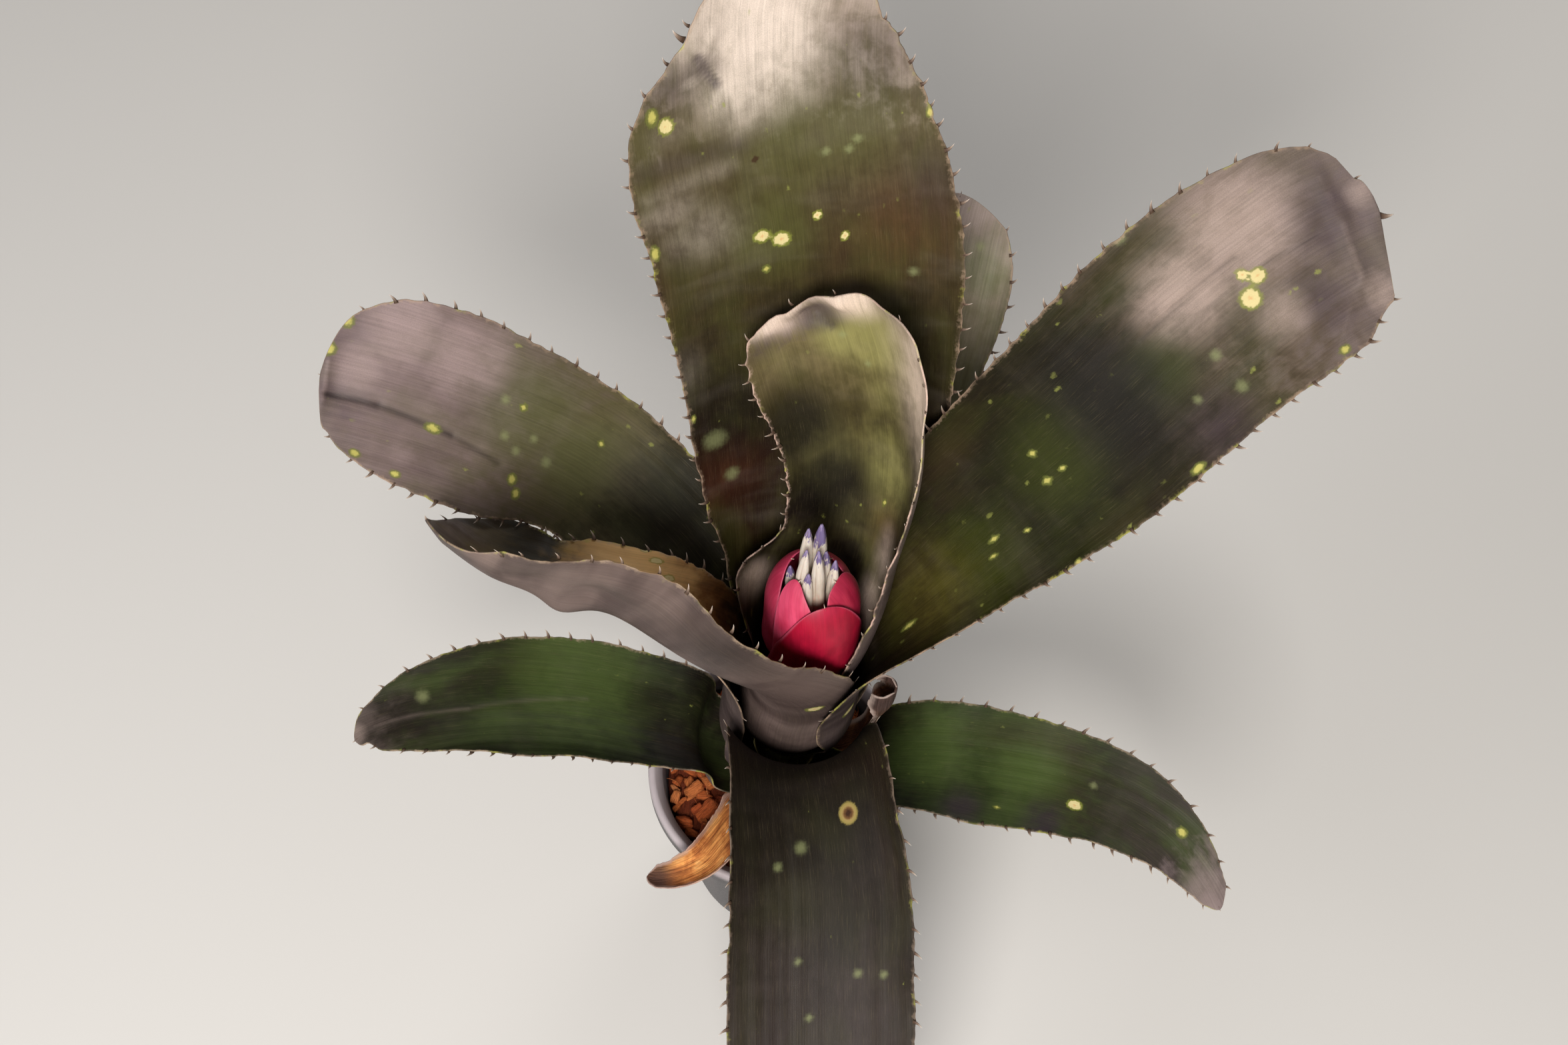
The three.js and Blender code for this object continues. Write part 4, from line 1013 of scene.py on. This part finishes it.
LEAVES["leaf_front"] = dict(
    seed=6, spines_from=38, mucro=1.6, tip=9, tip_back=1.4, sheath=(5, 272, 114, 16, 24, 24, 3),
    blade=[
        (8, -27, 126, 272, 0, 25, 25, 25), (10, -42, 127, 271, 0, 26, 26, 28),
        (12, -62, 121, 270, 0, 26, 26, 42), (12, -84, 111, 270, 0, 26, 26, 60),
        (12, -108, 98, 270, 0, 25, 25, 75), (12, -130, 84, 270, 0, 21, 21, 80),
        (12, -144, 75, 270, 0, 12, 12, 80), (12, -150, 71, 270, 0, 4, 4, 80),
    ],
    painted_highlight=[(1290, 1490, 30, 1.6, 0.2), (1160, 1420, 26, 1.4, 0.16), (1315, 1300, 24, 1.8, 0.14)],
    # The first dark mark is painted shadow that the flower's cup casts on this leaf.
    green=[(1190, 1360, 20, 1.2, 0.5)], dark=[(1215, 1130, 24, 0.7, 0.4), (1255, 1420, 14, 1.6, 0.35)],
    faint=[
        (1198, 1273, 2.6), (1168, 1301, 2), (1288, 1462, 1.9), (1326, 1462, 1.8), (1198, 1443, 1.6),
        (1216, 1527, 1.6),
    ],
    ring=[(1273, 1222, 3.6, 1.1)],
    look=dict(
        stops=[
            (0.28, "#1b1610"), (0.42, "#221c15"), (0.6, "#2f2722"), (0.78, "#332a28"), (0.92, "#372d2a"),
            (1.0, "#3c332f"),
        ],
        haze=(0.5, 1.0, 0.16), silver="#7d6d6b", green="#33331c", clouded=0.3, flecks=0.3, margin="#7a695a",
        maroon=0.15, shine=0.12,
    ),
)
LEAVES["leaf_back_right"] = dict(
    seed=7, spines_from=36, mucro=1.6, tip=7, sheath=(3, 70, 112, 16, 20, 20),
    blade=[
        (25, 41, 130, 69, 0, 17, 15, 30), (34, 59, 151, 68, 0, 17, 14.5, 45),
        (41, 77, 173, 68, 0, 18, 17, 60), (46, 93, 192, 69, 0, 18.5, 20.5, 70),
        (49, 104, 205, 70, 0, 13.5, 16.5, 70), (51.5, 111, 212, 70, 0, 5, 8, 70),
    ],
    painted_highlight=[(1460, 310, 16)], green=[(1470, 400, 14)], faint=[(1470, 370, 2)],
    look=dict(
        stops=[(0.3, "#262018"), (0.5, "#454128"), (0.7, "#645f40"), (0.88, "#756c53"), (1.0, "#8a7a74")],
        haze=(0.7, 1.0, 0.45), green="#5e673a", clouded=0.5, flecks=0.5, silver="#b5a299",
    ),
)
LEAVES["leaf_low_left"] = dict(
    seed=8, spines_from=34, mucro=1.6, tip=5, tip_back=1.4, ripple=0.45, notches=[(556, 1122, 2.6, 1.8)],
    sheath=(2, 188, 86, 16, 13, 20, 3),
    blade=[
        (-26, -2, 94, 188, 0, 13, 21, 26), (-42, -1, 102, 188, 0, 16, 22, 28),
        (-58, -1, 110, 188, 0, 19, 22, 28), (-80, -4, 120, 189, 0, 19, 20, 28),
        (-101, -10, 127, 193, 0, 13, 14, 26), (-114, -15, 128, 197, 0, 7, 7, 20),
        (-120, -18, 126, 200, 0, 2, 2, 16),
    ],
    painted_highlight=[(530, 1105, 7)], green=[(870, 1020, 30, 0.8), (740, 1090, 16, 1.2, 0.6)],
    dark=[(1020, 1060, 24, 0.8, 0.7), (640, 1080, 14, 1.5, 0.4)], faint=[(632, 1046, 2.8)],
    folds=[(560, 1092, 700, 1064, 0.9, 0.3, "painted_highlight", 0.4), (700, 1064, 880, 1052, 0.9, 0.25, "painted_highlight", 0.3)],
    look=dict(
        stops=[
            (0.25, "#12100a"), (0.42, "#20250f"), (0.56, "#303c16"), (0.7, "#262a15"), (0.85, "#26211a"),
            (1.0, "#332b27"),
        ],
        haze=(0.86, 1.0, 0.2), green="#47552a", clouded=0.45, flecks=0.3, maroon=0.15, margin="#a38f7a",
        silver="#8d7c74", shine=0.15,
    ),
)
LEAVES["leaf_low_right"] = dict(
    seed=9, spines_from=34, mucro=1.2, ripple=0.45, sheath=(1, 336, 84, 18, 18, 16, 3),
    blade=[
        (30, -10, 91, 338, 0, 18, 16, 26), (46, -12, 98, 338, 6, 19, 18, 30),
        (64, -17, 104, 336, 10, 18, 18, 36), (83, -24, 110, 334, 10, 16, 16, 40),
        (99, -33, 114, 330, 10, 14, 13, 40), (111, -42, 114, 326, 10, 10, 10, 40),
        (120, -52, 109, 320, 10, 6, 6, 40), (125, -60, 104, 318, 10, 2, 2, 40),
    ],
    painted_highlight=[(1815, 1348, 15)], green=[(1400, 1125, 24), (1540, 1160, 20, 1.4)],
    violet=[(1442, 1215, 13, 1, 0.8), (1560, 1236, 13, 1, 0.8)], faint=[(1640, 1180, 1.6)],
    fleck=[(1772, 1249, 2.2), (1495, 1212, 1.6, 2)], spot=[(1611, 1209, 3.2, 1.6)],
    look=dict(
        stops=[
            (0.25, "#17160d"), (0.4, "#2c3619"), (0.54, "#394422"), (0.68, "#2f301f"), (0.85, "#3b342f"),
            (1.0, "#7b6b6d"),
        ],
        haze=(0.84, 1.0, 0.45), green="#4a5a2c", clouded=0.45, flecks=0.3, maroon=0.2, margin="#a38f7a",
        silver="#94837f", shine=0.15,
    ),
)
LEAVES["dried_sheath_right"] = dict(
    seed=10, thickness=0.7, tip=2, ripple=0.5, pleat=0.2, rag=0.5, columns=40,
    sheath=(4, 354, 112, 7, 7, 7),
    blade=[
        (32.3, -3.5, 122, 346, 0, 7, 7, 6), (33.2, -5.5, 130, 339, 0, 8, 8, 4),
        (33.6, -5.5, 136, 339, 0, 8.5, 8.5, 3.7),
    ],
    look=(("#4a291d", "#6d3f2a", "#94603f", "#b98a62"), "#cbb5aa"),
)
LEAVES["dried_leaf_front"] = dict(
    seed=11, thickness=0.8, tip=3, ripple=0.5, pleat=0.25, rag=0.4, columns=40,
    sheath=(0, 238, 67.5, 9, 9, 9, 2),
    blade=[
        (-11, -18, 70.5, 238, 0, 8.5, 8.5, 8), (-17, -27, 72.6, 237, 0, 8, 8, 6.5),
        (-22, -33, 72.8, 228, 0, 7.5, 7.5, 5.5), (-29, -36.5, 72, 205, 0, 6, 6, 5),
        (-36, -37.5, 71, 185, 0, 4, 4, 4), (-40, -37, 72, 178, 0, 1.5, 1.5, 3),
    ],
    look=(("#8a5034", "#c87b40", "#f2a75c", "#fad08c"), "#b99d92"),
)


def dress(piece, material, slot, *nodes):
    piece.data.materials.append(material)
    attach(piece, "root")
    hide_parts(*nodes)


for name, leaf in LEAVES.items():
    piece = leaf_piece(name, leaf)
    if name.startswith("dried"):
        dress(piece, dried_look(name + "_skin", *leaf["look"]), "leaf_dried", name)
    else:
        slot = "leaf_green" if name.startswith("leaf_low") else "leaf_dark"
        dress(piece, leaf_look(name + "_skin", **leaf["look"]), slot, name)


# Flower head

def head_axis_at(z):
    rise = max(0, z - BUD_FOOT_Z)
    centre = axis_at(min(z, BUD_FOOT_Z))
    return np.array([centre[0] + HEAD_LEAN_X * rise, centre[1] + HEAD_LEAN_Y * rise, z])


def bract_foot(layer):
    return HEAD_FOOT_Z + HEAD_STEP_Z * layer


def flare_at(layer, z):
    return math.sin(min(1, max(0, (z - bract_foot(layer)) / BRACT_FLARE)) * math.pi / 2)


def bract_radius(layer, z):
    full = HEAD_RADIUS - BRACT_PITCH * layer
    rise = max(0, z - HEAD_SHOULDER_Z) / (HEAD_DOME_HEIGHT - BRACT_PITCH * layer)
    opened = BRACT_FOOT_RADIUS + (full - BRACT_FOOT_RADIUS) * flare_at(layer, z)
    return opened * math.sqrt(1 - rise * rise)


# A bract: its name and layer, azimuth of the middle and lean towards the apex, half-width, bluntness,
# height of the apex, push of the goblet to its own side, and its deep and light red
BRACTS = [
    ("bract_front", 0, 285, 0, 18.7, 2, 182, (0.3, -1.25), "#97092a", "#b21034"),
    ("bract_left", 1, 252, -40, 7.6, 6, 184.2, (-0.3, -0.75), "#c53255", "#de4f72"),
    ("bract_right", 1, 332, 0, 9, 10, 183.6, (0.45, -0.3), "#a91f3f", "#c4324f"),
    ("bract_back_left", 2, 160, -15, 13.2, 6, 182, (-1.1, 1.6), "#b02c4c", "#c43e5e"),
    ("bract_back_right", 2, 42, 0, 10, 6, 182, (0.1, 1.1), "#b02c4c", "#c43e5e"),
]


def bract_piece(name, layer, azimuth, lean, half, blunt, apex, push):
    """A cupped bract that closes in a dome, with thin rounded edges and a small point."""
    u, lift, out, _ = leaf_loop(BRACT_COLUMNS)
    foot = bract_foot(layer)
    push = np.array([*push, 0])
    rings = []
    along = []
    flow = []
    for t in np.sin(np.linspace(0, math.pi / 2, BRACT_ROWS)):
        z = foot + (apex - foot) * t
        radius = bract_radius(layer, z)
        slope = (bract_radius(layer, z + 0.01) - bract_radius(layer, z - 0.01)) / 0.02
        tilt = math.hypot(1, slope)
        wide = max(BRACT_END_WIDTH, half * math.sqrt(max(0, 1 - t ** blunt)))
        arc = radius if z > HEAD_SHOULDER_Z else HEAD_RADIUS - BRACT_PITCH * layer
        turn = math.radians(azimuth + lean * t ** 8) + (u * wide + out * 0.12) / arc
        off = -lift * BRACT_THICKNESS / 2 * (1 - 0.45 * u * u)
        off = off + 0.045 * waves(u * wide * 1.6, z * 0.1, 40 + layer)
        ring = circle(head_axis_at(z) + push * flare_at(layer, z), radius + off / tilt, turn)
        rings.append(ring - np.outer(off * slope / tilt, UP))
        along.append(np.full(len(u), t))
        flow.append(np.stack([u * wide, np.full(len(u), z), np.full(len(u), azimuth)], 1))
    build = Build()
    build.add_rings(rings, along=along, flow=flow, across=[u] * BRACT_ROWS)
    turn = math.radians(azimuth + lean)
    radial, side = heading(turn), heading(turn + math.pi / 2)
    root = head_axis_at(apex) + radial * bract_radius(layer, apex) + push
    add_spine(build, root, unit(UP - radial), -radial, side, (0.9, 0.3, 0.45), [0, apex], 1)
    return build.finish(name + "_fine")


for *form, deep, light in BRACTS:
    dress(bract_piece(*form), bract_look(form[0] + "_skin", deep, light), "bract", form[0])

# A bud: azimuth of its foot, tip, radius, where the violet starts, and the colour low on it
BUDS = [
    ("bud_right_tall", 74, (11.9, 10.5, 200.4), 2.15, 0.8, "#c6b39f"),
    ("bud_left_tall", 115, (8.5, 10, 199), 1.85, 0.9, "#c6b39f"),
    ("bud_left", 205, (8, 5.9, 195), 1.75, 0.92, "#c4af9b"),
    ("bud_front", 250, (8.5, 2.6, 188), 1.8, 0.86, "#c2ad9c"),
    ("bud_right", 25, (13.2, 7.9, 190.6), 1.7, 0.86, "#c2ad9c"),
    ("bud_middle", 295, (11.1, 5.1, 196), 1.85, 0.88, "#cb9c88"),
    ("bud_far_right", 340, (15.6, 5.5, 190.2), 1.65, 0.86, "#c8a898"),
    ("bud_far_left", 160, (3.7, 7, 184.5), 1.6, 0.84, "#c2ad9c"),
]
# How a bud tapers: places along it, and its radius there as a part of the full one
BUD_PLACES = (0, 0.15, 0.45, 0.74, 0.88, 0.95, 1)
BUD_TAPER = (0.6, 0.8, 1, 0.97, 0.68, 0.42, 0.14)


def bud_piece(name, azimuth, tip, radius):
    """A slender bud: three fused sepals that taper to a blunt point."""
    foot = head_axis_at(BUD_FOOT_Z) + BUD_RING * heading(math.radians(azimuth))
    turns = full_turn(BUD_SIDES)
    rings = []
    along = []
    seams = []
    flow = []
    for t in np.linspace(0, 1, BUD_ROWS) ** 0.9:
        phase = 3 * (turns + 0.7 + 0.5 * t)
        ridge = 1 + 0.07 * np.cos(phase) * min(1, 3 * t)
        seam = np.clip(np.cos(phase + math.pi), 0, 1) ** 12 * min(1, 2 * t)
        radii = radius * (np.interp(t, BUD_PLACES, BUD_TAPER) * ridge - 0.12 * seam)
        rings.append(circle(foot + (np.array(tip) - foot) * t, radii, turns))
        along.append(np.full(BUD_SIDES, t))
        seams.append(seam)
        flow.append(np.stack([turns * radius, np.full(BUD_SIDES, 40 * t), np.full(BUD_SIDES, azimuth)], 1))
    build = Build()
    build.add_rings(rings, along=along, flow=flow, seam=seams)
    return build.finish(name + "_fine")


for *form, stain_from, low in BUDS:
    dress(bud_piece(*form), bud_look(form[0] + "_skin", stain_from, low), "bud", form[0])


# Pot, substrate, stem and stalk

def pot_radius(z):
    return POT_BASE_RADIUS + (POT_RIM_RADIUS - POT_LIP - POT_BASE_RADIUS) * z / POT_HEIGHT


def pot_inner(z):
    return pot_radius(z) - POT_WALL


def pot_piece():
    """The pot: a turned body with a rounded rim, less its drain holes."""
    lip_foot = POT_HEIGHT - POT_LIP_HEIGHT
    flat = POT_BASE_RADIUS - FOOT_ROUNDING
    profile = [(0, 0.6), (16, 0.6), (17, 0), (flat, 0)]
    for a in np.radians([30, 60, 90]):
        profile.append((flat + FOOT_ROUNDING * math.sin(a), FOOT_ROUNDING * (1 - math.cos(a))))
    profile += [(pot_radius(z), z) for z in (8, 20, 34, 48)]
    profile += [(pot_radius(lip_foot) - 0.1, lip_foot - 0.6), (pot_radius(lip_foot) + 0.3, lip_foot)]
    profile += [(POT_RIM_RADIUS - 1, lip_foot), (POT_RIM_RADIUS - 0.3, lip_foot + 0.3)]
    profile += [(POT_RIM_RADIUS, lip_foot + 1)]
    for a in np.radians(range(0, 161, 20)):
        out, up = RIM_ROUNDING * math.cos(a), RIM_ROUNDING * math.sin(a)
        profile.append((POT_RIM_RADIUS - RIM_ROUNDING + out, POT_HEIGHT - RIM_ROUNDING + up))
    profile += [(pot_inner(z), z) for z in (POT_HEIGHT - 2.2, 56, 40, 20, POT_FLOOR + 1)]
    profile += [(pot_inner(POT_FLOOR) - 1, POT_FLOOR), (0, POT_FLOOR)]
    body = Build()
    body.add(*lathe(profile, POT_SIDES))
    piece = body.finish("pot_fine")
    drill = Build()
    for turn in full_turn(DRAIN_HOLES):
        centre = DRAIN_RING * heading(turn)[:2]
        drill.add(*lathe([(0, -2), (DRAIN_RADIUS, -2), (DRAIN_RADIUS, 4), (0, 4)], 32, centre))
    holes = drill.finish("drain_cutter")
    cut = piece.modifiers.new("drains", "BOOLEAN")
    cut.operation = "DIFFERENCE"
    cut.object = holes
    cut.solver = "EXACT"
    shaped = bpy.data.meshes.new_from_object(piece.evaluated_get(bpy.context.evaluated_depsgraph_get()))
    piece.modifiers.clear()
    piece.data = shaped
    bpy.data.objects.remove(holes)
    shaped.set_sharp_from_angle(angle=math.radians(50))
    return piece


dress(pot_piece(), pot_look(), "pot", "pot")


def cube_grid(steps):
    """Points and outward quads of a cube from -1 to 1 with a grid on each side."""
    grid = np.linspace(-1, 1, steps)
    index = {}
    faces = []
    for axis, sign, i, j in itertools.product(range(3), (-1, 1), range(steps - 1), range(steps - 1)):
        quad = []
        for di, dj in ((0, 0), (1, 0), (1, 1), (0, 1)):
            corner = tuple(np.roll([sign, grid[i + di], grid[j + dj]], axis))
            quad.append(index.setdefault(corner, len(index)))
        faces.append(quad if sign > 0 else quad[::-1])
    return np.array(list(index)), np.array(faces)


CUBE, CUBE_FACES = cube_grid(5)
CHIP = CUBE * 0.68 + unit(CUBE) * 0.42


def add_chip(build, centre, size, draw, tint):
    """An irregular chip: a rounded box with torn ends and a fibrous surface."""
    seed = int(draw.integers(1, 9000))
    rough = waves(CHIP[:, 0] * 2.6 + CHIP[:, 2], CHIP[:, 1] * 2.2 - CHIP[:, 2] * 1.5, seed)
    body = CHIP * (1 + 0.16 * rough[:, None])
    body[:, 2] += 0.35 * waves(body[:, 0] * 1.2, body[:, 1] * 1.2, seed + 1) * draw.uniform(0.2, 1)
    body = body * np.array(size) / 2
    turn = Euler((draw.uniform(-0.6, 0.6), draw.uniform(-0.6, 0.6), draw.uniform(0, math.pi)))
    placed = body @ np.array(turn.to_matrix()).T + centre
    build.add(placed, CUBE_FACES, tint=tint, flow=body[:, [1, 0, 2]] + seed)


def add_fibre(build, draw):
    """A thin loose fibre that lies bent on the chips."""
    reach = draw.uniform(12.5, 31)
    at = reach * heading(draw.uniform(0, 2 * math.pi)) + UP * (SOIL_LEVEL + draw.uniform(0.9, 2.3))
    start = draw.uniform(0, 2 * math.pi)
    bend = draw.uniform(-0.5, 0.5)
    rings = []
    for k in range(FIBRE_RINGS):
        angle = start + bend * k * 0.5
        width = 0.16 * (1 - abs(k - 4) / 6)
        side = heading(angle + math.pi / 2) * width
        rise = UP * width * 0.7
        rings.append(np.array([at - side, at + rise, at + side, at - rise]))
        at = at + (heading(angle) + UP * draw.uniform(-0.25, 0.18)) * FIBRE_STEP
        at[:2] *= min(1, 34.5 / np.hypot(at[0], at[1]))
    build.add_rings(rings, tint=draw.uniform(0.6, 1), flow=rings)


def substrate_piece():
    """The filled medium: a lumpy body, coarse husk chips bedded in its top and a few loose fibres."""
    wall = lambda z: pot_inner(z) - SOIL_GAP
    hole = STEM_RADIUS + SOIL_GAP
    low = POT_FLOOR + SOIL_GAP
    profile = [(0, low), (wall(low), low), (wall(30), 30), (wall(SOIL_LEVEL - 2.5), SOIL_LEVEL - 2.5)]
    profile += [(wall(SOIL_LEVEL) - 0.8, SOIL_LEVEL - 1.4)]
    profile += [(r, SOIL_LEVEL - 0.6) for r in (33, 30, 27, 24, 21, 18, 15, 12.5)]
    profile += [(hole, SOIL_LEVEL - 0.8), (hole, STEM_BOTTOM - SOIL_GAP), (0, STEM_BOTTOM - SOIL_GAP)]
    points, faces = lathe(profile, 120)
    top = (points[:, 2] > SOIL_LEVEL - 1.2) & (np.hypot(points[:, 0], points[:, 1]) > hole + 1)
    points[top, 2] += 0.7 * waves(points[top, 0] * 0.55, points[top, 1] * 0.55, 61)
    build = Build()
    build.add(points, faces, tint=0.12, flow=points)
    draw = np.random.default_rng(17)
    placed = []
    while len(placed) < CHIPS:
        reach = 11.5 + 21.8 * math.sqrt(draw.uniform(0.02, 1))
        spot = reach * heading(draw.uniform(0, 2 * math.pi))
        if any(np.linalg.norm(spot - other) < CHIP_SPACING for other in placed):
            continue
        placed.append(spot)
        long = draw.uniform(3.2, 7.0) * (0.75 if reach < 15 or reach > 30 else 1)
        size = (long, long * draw.uniform(0.4, 0.7), draw.uniform(1.3, 2.4))
        centre = spot + UP * (SOIL_LEVEL + draw.uniform(-0.6, 1.2))
        add_chip(build, centre, size, draw, draw.beta(2.2, 1.9))
    for _ in range(FIBRES):
        add_fibre(build, draw)
    return build.finish("substrate_fine")


dress(substrate_piece(), husk_look(), "substrate", "substrate")


def stalk_piece(name, profile, sides, relief, seed):
    turns = full_turn(sides)
    rings = []
    for z, radius in profile:
        radii = radius + relief * (waves(turns * 6, z * 0.05, seed) - 1) * min(1, radius)
        rings.append(circle(axis_at(z), radii, turns))
    build = Build()
    build.add_rings(rings)
    return build.finish(name)


stem_profile = [(z, STEM_RADIUS) for z in np.linspace(STEM_BOTTOM, STEM_TOP, 48)]
look = stem_look()
dress(stalk_piece("stem_fine", stem_profile, 72, 0.06, 71), look, "stem", "stem")
seat = BUD_FOOT_Z - 0.4
scape_profile = [(z, SCAPE_RADIUS) for z in np.linspace(STEM_TOP + 0.3, seat - 7, 16)]
scape_profile += [(seat - 5, 4.3), (seat - 3.5, 6.0), (seat - 1.5, 6.9), (seat - 0.3, 7.2), (seat, 7.0)]
dress(stalk_piece("scape_fine", scape_profile, 48, 0.04, 72), look, "stem", "scape")


# Stage, light and camera

FLOOR_HALF = 3.0
floor_mesh = bpy.data.meshes.new("floor")
corners = [(x * FLOOR_HALF, y * FLOOR_HALF, 0) for x, y in ((-1, -1), (1, -1), (1, 1), (-1, 1))]
floor_mesh.from_pydata(corners, [], [(0, 1, 2, 3)])
floor = link("floor", floor_mesh)
floor.data.materials.append(floor_look())

world = bpy.data.worlds.new("studio")
world.use_nodes = True
world.node_tree.nodes["Background"].inputs[0].default_value = (0.96, 0.95, 0.93, 1)
world.node_tree.nodes["Background"].inputs[1].default_value = 0.2
bpy.context.scene.world = world


def soft_light(name, place, aim, size, power, tint):
    light = bpy.data.lights.new(name, "AREA")
    light.shape = "DISK"
    light.size = size
    light.energy = power
    light.color = tint
    lamp = link(name, light)
    lamp.location = place
    lamp.rotation_euler = (Vector(aim) - Vector(place)).to_track_quat("-Z", "Y").to_euler()


soft_light("key", (-0.1, -0.75, 0.85), (0, 0.02, 0.16), 0.4, 12, (1.0, 0.97, 0.93))
soft_light("fill", (-0.9, -0.3, 0.8), (0, 0, 0.15), 0.8, 4, (0.97, 0.97, 1.0))
soft_light("back", (0.5, 0.9, 0.8), (0, 0, 0.15), 0.6, 3, (1.0, 0.98, 0.95))

camera_data = bpy.data.cameras.new("camera")
camera_data.lens = CAMERA_LENS
camera_data.sensor_width = SENSOR_WIDTH
camera_data.clip_start = 0.01
camera = link("camera", camera_data)
camera.location = CAMERA_PLACE * MM
camera.rotation_euler = (CAMERA_TILT, 0, 0)
bpy.context.scene.camera = camera
bpy.context.scene.view_settings.view_transform = "Standard"
